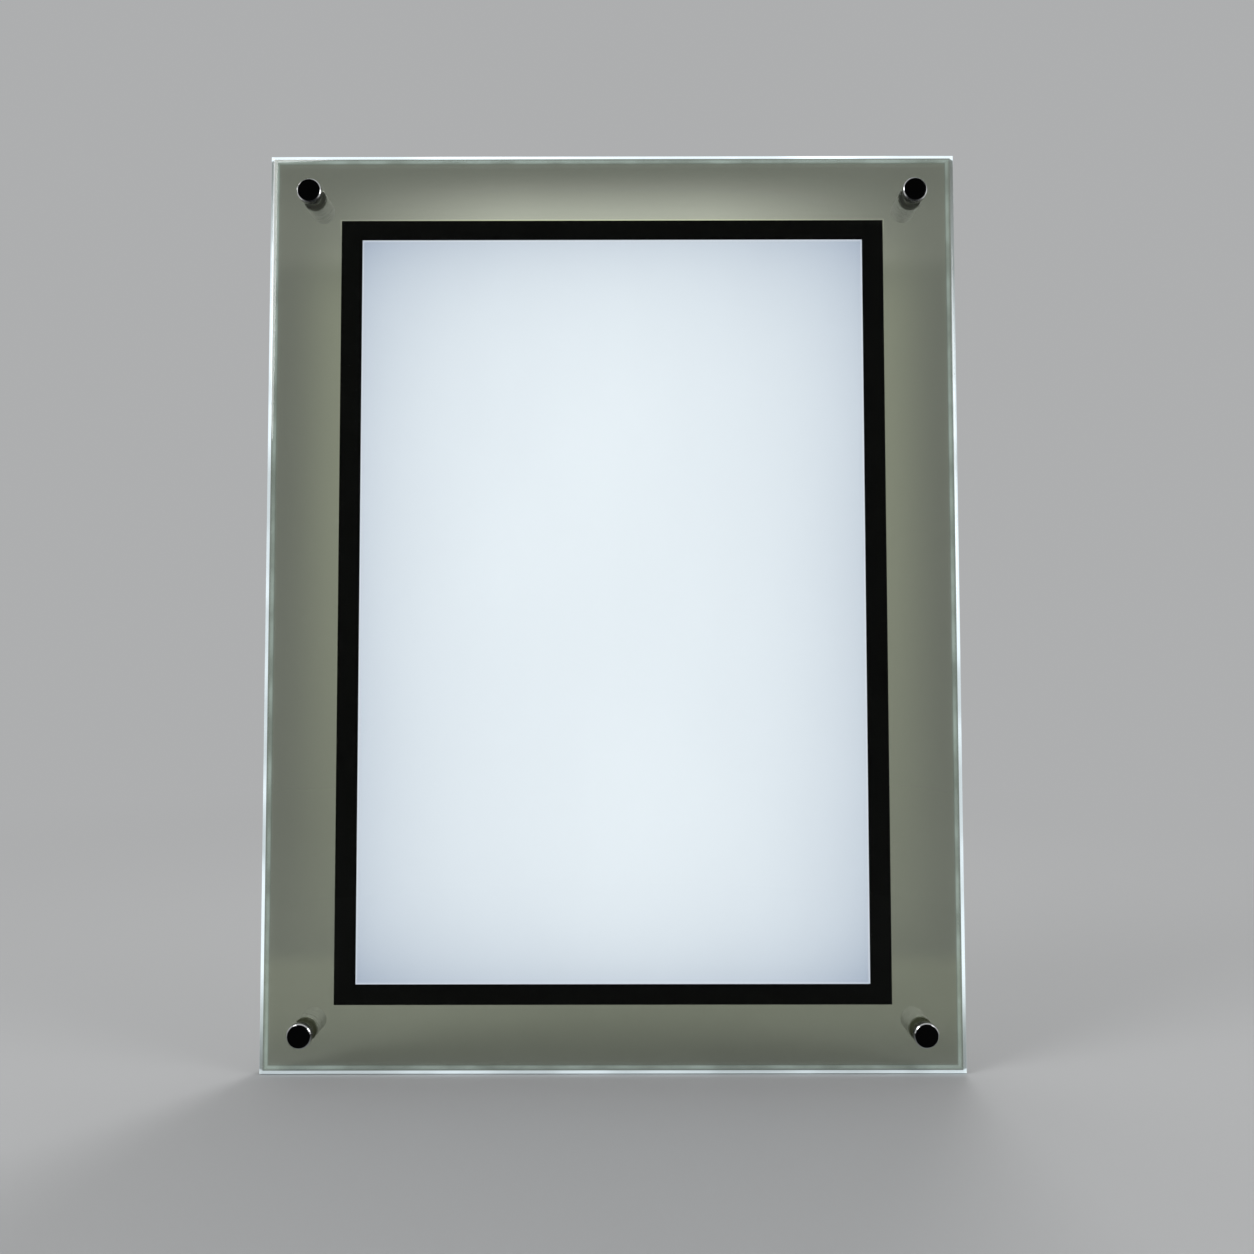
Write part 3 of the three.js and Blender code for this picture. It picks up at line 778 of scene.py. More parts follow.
class Bench:
    """A mesh under work, in millimetres, and the node that it replaces."""

    def __init__(self, node: str) -> None:
        """Clears the bench.

        Args:
            node: The node that the piece replaces.
        """
        self.node = node
        self.room = Room.of(node)
        self.bm: BMesh = bmesh.new()

    def walls(self, outline: Outline, levels: Sequence[Level]) -> tuple[list[BMEdge], list[BMEdge]]:
        """Raises a wall along an outline.

        Args:
            outline: The outline.
            levels: The wall's levels, from the back forward.

        Returns:
            The edges of the first level and of the last.
        """
        loops = [outline.grown(level.grow).draw(self.bm, level.forward) for level in levels]
        for level, lower, upper in zip(levels[1:], loops, loops[1:]):
            for face in bmesh.ops.bridge_loops(self.bm, edges=lower + upper)["faces"]:
                face.material_index = level.finish
        return loops[0], loops[-1]

    def fill(self, edges: Sequence[BMEdge]) -> None:
        """Fills flat loops in the first finish, with any loop inside another left open.

        Args:
            edges: The edges of all the loops.
        """
        made = bmesh.ops.triangle_fill(self.bm, use_beauty=True, use_dissolve=False, edges=edges)
        for face in made["geom"]:
            if isinstance(face, BMFace):
                face.material_index = 0

    def slab(
        self,
        outline: Outline,
        levels: Sequence[Level],
        holes: Sequence[Opening] = (),
        pockets: Sequence[Opening] = (),
    ) -> None:
        """Makes a slab with holes through it and pockets in its back.

        Args:
            outline: Its outer outline.
            levels: The levels of its outer wall.
            holes: The outline and levels of each hole.
            pockets: The outline and levels of each pocket, from its mouth inward.
        """
        back, front = self.walls(outline, levels)
        for hole, hole_levels in holes:
            first, last = self.walls(hole, hole_levels)
            back, front = back + first, front + last
        for pocket, pocket_levels in pockets:
            first, last = self.walls(pocket, pocket_levels)
            back = back + first
            self.fill(last)
        self.fill(back)
        self.fill(front)

    def turn(
        self, profile: Profile, segments: int = 64, ring: bool = False, ease: float = 0.0
    ) -> list[BMVert]:
        """Turns a profile about the forward axis.

        Args:
            profile: Its points, as radius and station.
            segments: The steps of the full turn.
            ring: Whether the profile closes on itself.
            ease: The width by which its corners off the axis are rounded.

        Returns:
            The vertices of the turned shape.
        """
        old = set(self.bm.verts)
        points = [self.bm.verts.new((radius, 0.0, station)) for radius, station in profile]
        for pair in zip(points, points[1:] + points[:1] if ring else points[1:]):
            self.bm.edges.new(pair)
        if ease:
            bevel(self.bm, [vert for vert in points if vert.co.x > WELD], ease, TURNED_STEPS, "VERTICES")
        line = [vert for vert in self.bm.verts if vert not in old]
        bmesh.ops.spin(
            self.bm, geom=line + edges_of(line), cent=(0, 0, 0), axis=(0, 0, 1), dvec=(0, 0, 0),
            angle=2 * math.pi, steps=segments, use_merge=True, use_duplicate=False,
        )
        made = [vert for vert in self.bm.verts if vert not in old]
        bmesh.ops.remove_doubles(self.bm, verts=made, dist=WELD)
        return [vert for vert in self.bm.verts if vert not in old]

    def box(self, size: Triple, middle: Triple, ease: float = 0.0) -> list[BMVert]:
        """Makes a block.

        Args:
            size: Its width, height and depth.
            middle: Its middle.
            ease: The width of its broken edges.

        Returns:
            Its vertices.
        """
        old = set(self.bm.verts)
        matrix = Matrix.Translation(middle) @ Matrix.Diagonal((*size, 1.0))
        verts = bmesh.ops.create_cube(self.bm, size=1.0, matrix=matrix)["verts"]
        if ease:
            bevel(self.bm, edges_of(verts), ease, BLOCK_STEPS, "EDGES")
        return [vert for vert in self.bm.verts if vert not in old]

    def paint(
        self,
        finish: int,
        verts: Sequence[BMVert] = (),
        where: Callable[[Vector, Vector], bool] = lambda middle, normal: True,
    ) -> None:
        """Gives faces a finish.

        Args:
            finish: The finish's place in the piece's list.
            verts: The vertices whose faces are painted, or none for all.
            where: A test on a face's middle and normal.
        """
        faces = {face for vert in verts for face in vert.link_faces} if verts else set(self.bm.faces)
        for face in faces:
            face.normal_update()
            if where(face.calc_center_median(), face.normal):
                face.material_index = finish

    def turn_about(self, axis: str, angle: float) -> None:
        """Turns everything on the bench about an axis through its origin."""
        bmesh.ops.transform(self.bm, matrix=Matrix.Rotation(angle, 4, axis), verts=self.bm.verts)

    def move(self, right: float, up: float, forward: float, verts: Sequence[BMVert] = ()) -> None:
        """Moves vertices, or everything on the bench."""
        bmesh.ops.translate(self.bm, vec=(right, up, forward), verts=list(verts) or self.bm.verts)

    def piece(self, name: str, body: str, slot: str, materials: Sequence[Material]) -> None:
        """Stands the mesh up in the part's frame as a finished piece.

        Args:
            name: The piece's name.
            body: The body that it rides on.
            slot: The material slot of the record; not used.
            materials: Its materials, in the order of its finishes.
        """
        bm = self.bm
        bmesh.ops.recalc_face_normals(bm, faces=bm.faces)
        bmesh.ops.transform(bm, matrix=STAND_UP, verts=bm.verts)
        for face in bm.faces:
            face.smooth = True
        for edge in bm.edges:
            edge.smooth = edge.is_manifold and edge.calc_face_angle() < SHARP_ANGLE
        mesh = bpy.data.meshes.new(name)
        bm.to_mesh(mesh)
        open_edges = sum(not edge.is_manifold for edge in bm.edges)
        bm.free()
        for material in materials:
            mesh.materials.append(material)
        piece = placed(name, mesh)
        piece.modifiers.new("weighted", "WEIGHTED_NORMAL").keep_sharp = True
        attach(piece, body)
        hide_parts(self.node)
        LOG.info("%s: %d faces, %d open edges, on %s", name, len(mesh.polygons), open_edges, body)


def keep_node(node: str, material: Material) -> None:
    """Dresses a node of the frame whose shape is right.

    Args:
        node: The node's name.
        material: Its material.
    """
    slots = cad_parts[node].data.materials
    slots.clear()
    slots.append(material)
    LOG.info("%s: kept, in %s", node, material.name)


# Sub-assemblies


@dataclass
class FrontCover:
    """The front cover: a clear plate with a faceted, glowing edge, and the border printed on its back."""

    shop: Shop
    land: float = 1.6
    steep_depth: float = 2.8
    steep_width: float = 3.4
    shallow_width: float = 4.6
    hole: float = 10.0
    hole_steps: int = 64
    ease: float = 0.25
    print_margin: Pair = (16.5, 15.5)

    # The finishes of the plate's edge, after that of its flat faces
    STEEP, SHALLOW, LAND = 1, 2, 3

    def plate(self) -> None:
        """Makes the front plate."""
        bench = Bench("front_plate")
        room = bench.room
        land = room.back + self.land
        levels = [
            Level(room.back, -self.ease),
            Level(room.back + self.ease, 0.0, self.LAND),
            Level(land, 0.0, self.LAND),
            Level(land + self.steep_depth, -self.steep_width, self.STEEP),
            Level(room.front, -self.steep_width - self.shallow_width, self.SHALLOW),
        ]
        through = eased(room.back, room.front, self.ease, sign=-1.0)
        holes = [(circle(self.hole, *corner.place, self.hole_steps), through) for corner in Corner]
        bench.slab(rectangle(room.width, room.height), levels, holes)
        finishes = self.shop.get("clear_acrylic", "glowing_edge", "inner_facet", "glowing_side")
        bench.piece("front_plate_polished", "front_cover", "clear_acrylic", finishes)

    def border(self) -> None:
        """Makes the printed border."""
        bench = Bench("border_print")
        room = bench.room
        flat = [Level(room.back), Level(room.front)]
        across, along = self.print_margin
        window = rectangle(room.width - 2 * across, room.height - 2 * along)
        bench.slab(rectangle(room.width, room.height), flat, [(window, flat)])
        bench.piece("border_film", "front_cover", "black_print", self.shop.get("black_print"))

    def build(self) -> None:
        """Makes both pieces."""
        self.plate()
        self.border()


@dataclass
class Screw:
    """A pan-head screw with a cross recess, its head towards the wall.

    The shoulder is how far it comes in and how far it goes back. The point is a share of the thread's root
    and a length.
    """

    shop: Shop
    head: float = 5.6
    head_height: float = 1.9
    dome: float = 0.7
    dome_share: float = 0.55
    crown: float = 2.05
    shoulder: Pair = (0.25, 0.3)
    shank: float = 2.8
    thread_depth: float = 0.32
    thread_pitch: float = 0.8
    thread_start: float = 0.2
    plain: float = 1.0
    point: Pair = (0.9, 0.6)
    arm: float = 1.55
    arm_width: float = 0.42
    recess: float = 1.05
    recess_floor: float = 0.62
    segments: int = 32

    def cross(self, bench: Bench, station: float, scale: float) -> list[BMEdge]:
        """Draws the recess's outline.

        Args:
            bench: The bench.
            station: Where it lies.
            scale: Its size, as a share of the full one.

        Returns:
            Its edges.
        """
        arm, half = self.arm * scale, self.arm_width * scale
        quarter = [Vector((arm, -half, station)), Vector((arm, half, station)), Vector((half, half, station))]
        turns = [Matrix.Rotation(step * math.pi / 2, 4, "Z") for step in range(4)]
        verts = [bench.bm.verts.new(turn @ point) for turn in turns for point in quarter]
        return [bench.bm.edges.new(pair) for pair in zip(verts, verts[1:] + verts[:1])]

    def profile(self, length: float) -> Profile:
        """The screw's profile, from its crown to its point.

        Args:
            length: The length of its shank.

        Returns:
            Its points, as radius and station.
        """
        outer, radius, under = self.head / 2, self.shank / 2, self.head_height
        root = radius - self.thread_depth
        in_by, back_by = self.shoulder
        points = [(self.crown, 0.0), (outer - in_by, self.dome * self.dome_share)]
        points += [(outer, self.dome + back_by), (outer, under), (root, under)]
        for step in range(int((length - self.plain) / self.thread_pitch)):
            base = under + self.thread_start + step * self.thread_pitch
            middle, end = base + self.thread_pitch / 2, base + self.thread_pitch * THREAD_RUN
            points += [(root, base), (radius, middle), (root, end)]
        share, point = self.point
        return points + [(root * share, under + length - point), (0.0, under + length)]

    def build(self, node: str, length: float) -> None:
        """Makes the screw of a node.

        Args:
            node: The node that it replaces.
            length: The length of its shank.
        """
        bench = Bench(node)
        bench.turn(self.profile(length), self.segments)
        rim = [edge for edge in bench.bm.edges if edge.is_boundary]
        mouth, floor = self.cross(bench, 0.0, 1.0), self.cross(bench, self.recess, self.recess_floor)
        bmesh.ops.bridge_loops(bench.bm, edges=mouth + floor)
        bench.fill(floor)
        bench.fill(rim + mouth)
        bench.move(bench.room.right, bench.room.up, bench.room.back)
        bench.piece(f"{node}_cross", "rear_unit", "satin_steel", self.shop.get("screw_steel"))


@dataclass
class RearUnit:
    """The rear plate, cut out for the lit unit, and the back cover with its screws.

    The drill's point is its length and how much it narrows. The slot is its width, height and corner radius.
    """

    shop: Shop
    hole: float = 10.0
    hole_steps: int = 64
    ease: float = 0.3
    cutout: Pair = (403.2, 588.2)
    screw_hole: float = 3.4
    screw_steps: int = 24
    pilot_steps: int = 16
    screw_depth: float = 6.5
    drill_point: Pair = (0.6, 1.0)
    screw_length: float = 7.5
    cover_radius: float = 4.0
    slot: Triple = (8.0, 2.6, 1.248)
    slot_place: Pair = (146.0, -292.2)

    # The finish of the plate's edge, after that of its flat faces
    EDGE = 1

    def screw_holes(self, nodes: Sequence[str], steps: int, levels: Sequence[Level]) -> list[Opening]:
        """The holes of screws.

        Args:
            nodes: The screws' nodes, which say where the holes are.
            steps: The segments of each hole.
            levels: The levels of each hole.

        Returns:
            The holes.
        """
        rooms = [Room.of(node) for node in nodes]
        return [(circle(self.screw_hole, room.right, room.up, steps), levels) for room in rooms]

    def plate(self) -> None:
        """Makes the rear plate."""
        bench = Bench("rear_plate")
        room = bench.room
        through = eased(room.back, room.front, self.ease, sign=-1.0)
        holes = [(circle(self.hole, *corner.place, self.hole_steps), through) for corner in Corner]
        holes.append((rectangle(*self.cutout), [Level(room.back), Level(room.front)]))
        deep, (point, narrowing) = room.back + self.screw_depth, self.drill_point
        blind = [Level(room.back), Level(deep), Level(deep + point, -narrowing)]
        pockets = self.screw_holes(COVER_SCREWS, self.pilot_steps, blind)
        outer = eased(room.back, room.front, self.ease, finish=self.EDGE)
        bench.slab(rectangle(room.width, room.height), outer, holes, pockets)
        finishes = self.shop.get("acrylic_margin_glow_and_shade", "glowing_side")
        bench.piece("rear_plate_polished", "rear_unit", "clear_acrylic", finishes)

    def cover(self) -> None:
        """Makes the back cover."""
        bench = Bench("back_cover")
        room = bench.room
        through = eased(room.back, room.front, self.ease, sign=-1.0)
        holes = self.screw_holes([*COVER_SCREWS, *BOX_SCREWS], self.screw_steps, through)
        holes.append((rectangle(*self.slot, *self.slot_place), through))
        outline = rectangle(room.width, room.height, self.cover_radius)
        bench.slab(outline, eased(room.back, room.front, self.ease), holes)
        bench.piece("back_cover_coated", "rear_unit", "cover_paint", self.shop.get("cover_coat"))

    def build(self) -> None:
        """Makes the plate, the cover and its screws."""
        self.plate()
        self.cover()
        screw = Screw(self.shop)
        for node in COVER_SCREWS:
            screw.build(node, self.screw_length)


@dataclass
class LitUnit:
    """The lit unit: reflector, guide and diffuser, with a rail and a light strip along each side."""

    shop: Shop
    ease: float = 0.15
    package: Triple = (3.5, 0.8, 2.8)
    package_pitch: float = 25.0
    board: float = 1.0
    board_ease: float = 0.1
    end_margin: float = 8.0
    window_inset: float = 0.45
    window_slope: Pair = (0.15, -0.18)
    pad: Triple = (0.9, 0.06, 2.2)
    pad_gap: float = 0.25
    resistor: Triple = (1.6, 0.45, 0.8)
    resistor_rise: float = 0.2
    resistor_ease: float = 0.05
    resistor_every: int = 3

    # The finishes of what a strip carries, after that of its board, and of the guide's back
    PACKAGE, WINDOW, PAD, RESISTOR = 1, 2, 3, 4
    DOTS = 1

    def sheets(self) -> None:
        """Makes the three sheets behind the window."""
        for node, name, slot, *finishes in (
            ("reflector_sheet", "reflector_film", "reflector", "white_film"),
            ("light_guide", "light_guide_dotted", "guide_acrylic", "clear_acrylic", "guide_dots"),
            ("diffuser_sheet", "diffuser_opal", "diffuser", "opal_sheet"),
        ):
            bench = Bench(node)
            room = bench.room
            ease = min(self.ease, room.depth / 4)
            bench.slab(rectangle(room.width, room.height), eased(room.back, room.front, ease))
            if len(finishes) > 1:
                bench.paint(self.DOTS, where=lambda middle, normal: middle.z < room.back + WELD)
            bench.piece(name, "rear_unit", slot, self.shop.get(*finishes))

    def rail(self, side: Side) -> None:
        """Makes the rail of a side.

        Args:
            side: The side.
        """
        bench = Bench(f"rail_{side.label}")
        room = bench.room
        bench.box((room.width, room.height, room.depth), (room.right, room.up, room.station), self.ease)
        finish = "mill_aluminium_upright" if side.upright else "mill_aluminium"
        bench.piece(f"{bench.node}_drawn", "rear_unit", "rail_aluminium", self.shop.get(finish))

    def strip(self, side: Side) -> None:
        """Makes the light strip of a side, as the bottom one, and turns it into place.

        Args:
            side: The side.
        """
        bench = Bench(f"light_strip_{side.label}")
        room = bench.room
        length, reach = (room.height, abs(room.right)) if side.upright else (room.width, abs(room.up))
        span = (room.width if side.upright else room.height) / 2
        base = -reach - span + self.board / 2
        top = base + self.board / 2
        bench.box((length, self.board, room.depth), (0.0, base, room.station), self.board_ease)
        count = int((length - 2 * self.end_margin) // self.package_pitch) + 1
        for step in range(count):
            x = (step - (count - 1) / 2) * self.package_pitch
            self.light_package(bench, x, top)
            if step % self.resistor_every == 1 and step + 1 < count:
                middle = (x + self.package_pitch / 2, top + self.resistor_rise, room.station)
                bench.paint(self.RESISTOR, bench.box(self.resistor, middle, self.resistor_ease))
        bench.turn_about("Z", side.turn)
        finishes = self.shop.get("solder_mask", "package_white", "package_window", "solder", "moulded_black")
        bench.piece(f"{bench.node}_populated", "rear_unit", "strip_board", finishes)

    def light_package(self, bench: Bench, x: float, top: float) -> None:
        """Makes one light package on a board.

        Args:
            bench: The bench with the board on it.
            x: The package's place along the board.
            top: The board's upper face.
        """
        width, height, _ = self.package
        station = bench.room.station
        body = bench.box(self.package, (x, top + height / 2, station))
        bench.paint(self.PACKAGE, body)
        faces = {face for vert in body for face in vert.link_faces}
        window = max(faces, key=lambda face: face.calc_center_median().y)
        slope, fall = self.window_slope
        bmesh.ops.inset_region(bench.bm, faces=[window], thickness=self.window_inset, depth=0.0)
        bmesh.ops.inset_region(bench.bm, faces=[window], thickness=slope, depth=fall)
        window.material_index = self.WINDOW
        for sign in (-1, 1):
            middle = (x + sign * (width / 2 + self.pad_gap), top + self.pad[1] / 2, station)
            bench.paint(self.PAD, bench.box(self.pad, middle))

    def build(self) -> None:
        """Makes the sheets, rails and strips."""
        self.sheets()
        for side in Side:
            self.rail(side)
            self.strip(side)


@dataclass
class Inlet:
    """The inlet box on the back cover, with its socket, nut, terminal block, wires and screws.

    Flange, body, mouth and well are a diameter and a length each. The pin is a diameter and how deep its tip
    lies in the mouth. The well's screw is how far out of the well's floor it starts, and its height.
    """

    shop: Shop
    box: Pair = (70.0, 36.0)
    wall: float = 1.8
    radius: float = 3.0
    fillet: float = 1.2
    fillet_turn: float = 0.29
    ear: Triple = (9.0, 12.0, 2.0)
    ear_root: float = 1.0
    ear_radius: float = 2.5
    edge: float = 0.3
    hole_edge: float = 0.2
    screw_hole: float = 3.4
    screw_steps: int = 24
    screw_length: float = 3.6
    socket_hole: float = 8.4
    socket_steps: int = 32
    least_wall: float = 200.0
    near: float = 0.01
    flange: Pair = (11.0, 2.0)
    flange_edge: float = 0.4
    body: Pair = (8.0, 14.0)
    body_pitch: float = 1.0
    body_steps: int = 40
    mouth: Pair = (5.7, 9.5)
    mouth_edge: float = 0.25
    pin: Pair = (2.0, 1.0)
    nut_flats: float = 11.0
    nut_edge: float = 0.35
    block_radius: float = 0.5
    block_pitch: float = 5.0
    well: Pair = (3.4, 4.0)
    well_lip: float = 0.15
    well_screw: Pair = (1.5, 1.4)

    # The finish of the metal inside a moulded piece, after that of the moulding
    METAL = 1

    def housing(self) -> None:
        """Makes the box: a shell open towards the cover, an ear at each side, and the socket's hole."""
        bench = Bench("inlet_box")
        room = bench.room
        (width, height), soft, turn = self.box, self.fillet, self.fillet * self.fillet_turn
        rise = [(0.0, -soft), (turn, -turn), (soft, 0.0)]
        outer = [Level(room.back + up, grow) for up, grow in rise] + [Level(room.front)]
        outline = rectangle(width, height, self.radius, room.right, room.up)
        back, front = bench.walls(outline, outer)
        inner = [Level(room.back + self.wall), Level(room.front)]
        floor, mouth = bench.walls(outline.grown(-self.wall), inner)
        for edges in (back, floor, front + mouth):
            bench.fill(edges)
        self.pierce(bench)
        ear_width, ear_height, ear_depth = self.ear
        start = room.front - ear_depth
        for sign in (-1, 1):
            x = room.right + sign * (width + ear_width) / 2
            root = x - sign * self.ear_root / 2
            shape = rectangle(ear_width + self.ear_root, ear_height, self.ear_radius, root, room.up)
            hole = circle(self.screw_hole, x, room.up, self.screw_steps)
            hole_levels = eased(start, room.front, self.hole_edge, sign=-1.0)
            bench.slab(shape, eased(start, room.front, self.edge), [(hole, hole_levels)])
        bench.piece("inlet_box_moulded", "rear_unit", "inlet_plastic", self.shop.get("moulded_black"))

    def pierce(self, bench: Bench) -> None:
        """Cuts the socket's hole through the box's lower wall.

        Args:
            bench: The bench with the box's shell on it.
        """
        bm, socket = bench.bm, Room.of("inlet_socket")
        base = bench.room.up - self.box[1] / 2
        rims: list[BMEdge] = []
        for level in (base, base + self.wall):
            flat = [face for face in bm.faces if face.calc_area() > self.least_wall]
            flat = [face for face in flat if all(abs(vert.co.y - level) < self.near for vert in face.verts)]
            edges = [edge for face in flat for edge in face.edges]
            bmesh.ops.delete(bm, geom=flat, context="FACES_ONLY")
            place = Matrix.Translation((socket.right, level, socket.station))
            made = bmesh.ops.create_circle(
                bm, cap_ends=False, segments=self.socket_steps, radius=self.socket_hole / 2,
                matrix=place @ Matrix.Rotation(math.pi / 2, 4, "X"),
            )
            rim = edges_of(made["verts"])
            bench.fill(edges + rim)
            rims += rim
        bmesh.ops.bridge_loops(bm, edges=rims)

    def socket_profile(self) -> Profile:
        """The socket's profile, from its pin out to its mouth, flange and thread.

        Returns:
            Its points, as radius and station.
        """
        edge, (pin, recess), (mouth, depth) = self.edge, self.pin, self.mouth
        (flange, thick), (body, length) = self.flange, self.body
        pin, mouth, flange, body = pin / 2, mouth / 2, flange / 2, body / 2
        points = [(0.0, -recess), (pin - edge, -recess), (pin, -recess - edge), (pin, -depth)]
        points += [(mouth, -depth), (mouth, -self.mouth_edge), (mouth + self.mouth_edge, 0.0)]
        points += [(flange - self.flange_edge, 0.0), (flange, -self.flange_edge), (flange, -thick)]
        points += [(body - edge, -thick)]
        for step in range(int(length / self.body_pitch) - 1):
            base = -thick - edge - step * self.body_pitch
            middle, end = base - self.body_pitch / 2, base - self.body_pitch * THREAD_RUN
            points += [(body - edge, base), (body, middle), (body - edge, end)]
        return points + [(body - 2 * edge, -thick - length), (0.0, -thick - length)]

    def stand(self, bench: Bench, turn: float) -> None:
        """Turns a piece made round the forward axis to stand upright, its start at the bottom of its room."""
        bench.turn_about("X", turn)
        bench.move(bench.room.right, bench.room.up - bench.room.height / 2, bench.room.station)

    def socket(self) -> None:
        """Makes the socket, its mouth down."""
        bench = Bench("inlet_socket")
        bench.turn(self.socket_profile(), self.body_steps)
        reach, depth = self.pin[0] / 2 + self.near, self.mouth[1]
        bench.paint(
            self.METAL,
            where=lambda middle, normal: math.hypot(middle.x, middle.y) < reach and middle.z > -depth,
        )
        self.stand(bench, math.pi / 2)
        finishes = self.shop.get("moulded_black", "screw_steel")
        bench.piece("inlet_socket_threaded", "rear_unit", "inlet_plastic", finishes)

    def nut(self) -> None:
        """Makes the socket's hexagon nut."""
        bench = Bench("socket_nut")
        thick = bench.room.height
        hexagon = circle(self.nut_flats * 2 / math.sqrt(3), segments=6)
        hole = circle(self.socket_hole, segments=self.socket_steps)
        through = eased(0.0, thick, self.hole_edge, sign=-1.0)
        bench.slab(hexagon, eased(0.0, thick, self.nut_edge), [(hole, through)])
        self.stand(bench, -math.pi / 2)
        bench.piece("socket_nut_chamfered", "rear_unit", "satin_steel", self.shop.get("screw_steel"))

    def block(self) -> None:
        """Makes the terminal block, with a screw in each well."""
        bench = Bench("terminal_block")
        room, lip, edge, (diameter, depth) = bench.room, self.well_lip, self.hole_edge, self.well
        well = [Level(room.back, lip), Level(room.back + lip), Level(room.back + depth)]
        rows = [room.up + sign * self.block_pitch / 2 for sign in (-1, 1)]
        pockets = [(circle(diameter, room.right, row, self.screw_steps), well) for row in rows]
        outline = rectangle(room.width, room.height, self.block_radius, room.right, room.up)
        bench.slab(outline, eased(room.back, room.front, self.edge), (), pockets)
        seat, tall = self.well_screw
        wide = diameter / 2 - edge
        for row in rows:
            profile = [(0.0, 0.0), (wide - edge, 0.0), (wide, edge), (wide, tall), (0.0, tall)]
            screw = bench.turn(profile, self.screw_steps)
            bench.move(room.right, row, room.back + depth - seat, screw)
            bench.paint(self.METAL, screw)
        finishes = self.shop.get("green_nylon", "screw_steel")
        bench.piece("terminal_block_moulded", "rear_unit", "terminal_nylon", finishes)

    def build(self) -> None:
        """Makes the inlet's pieces."""
        self.housing()
        self.socket()
        self.nut()
        self.block()
        screw = Screw(self.shop)
        for node in BOX_SCREWS:
            screw.build(node, self.screw_length)
        for colour in ("red", "black"):
            for start in ("inlet", "strip"):
                keep_node(f"{start}_wire_{colour}", *self.shop.get(f"{colour}_insulation"))


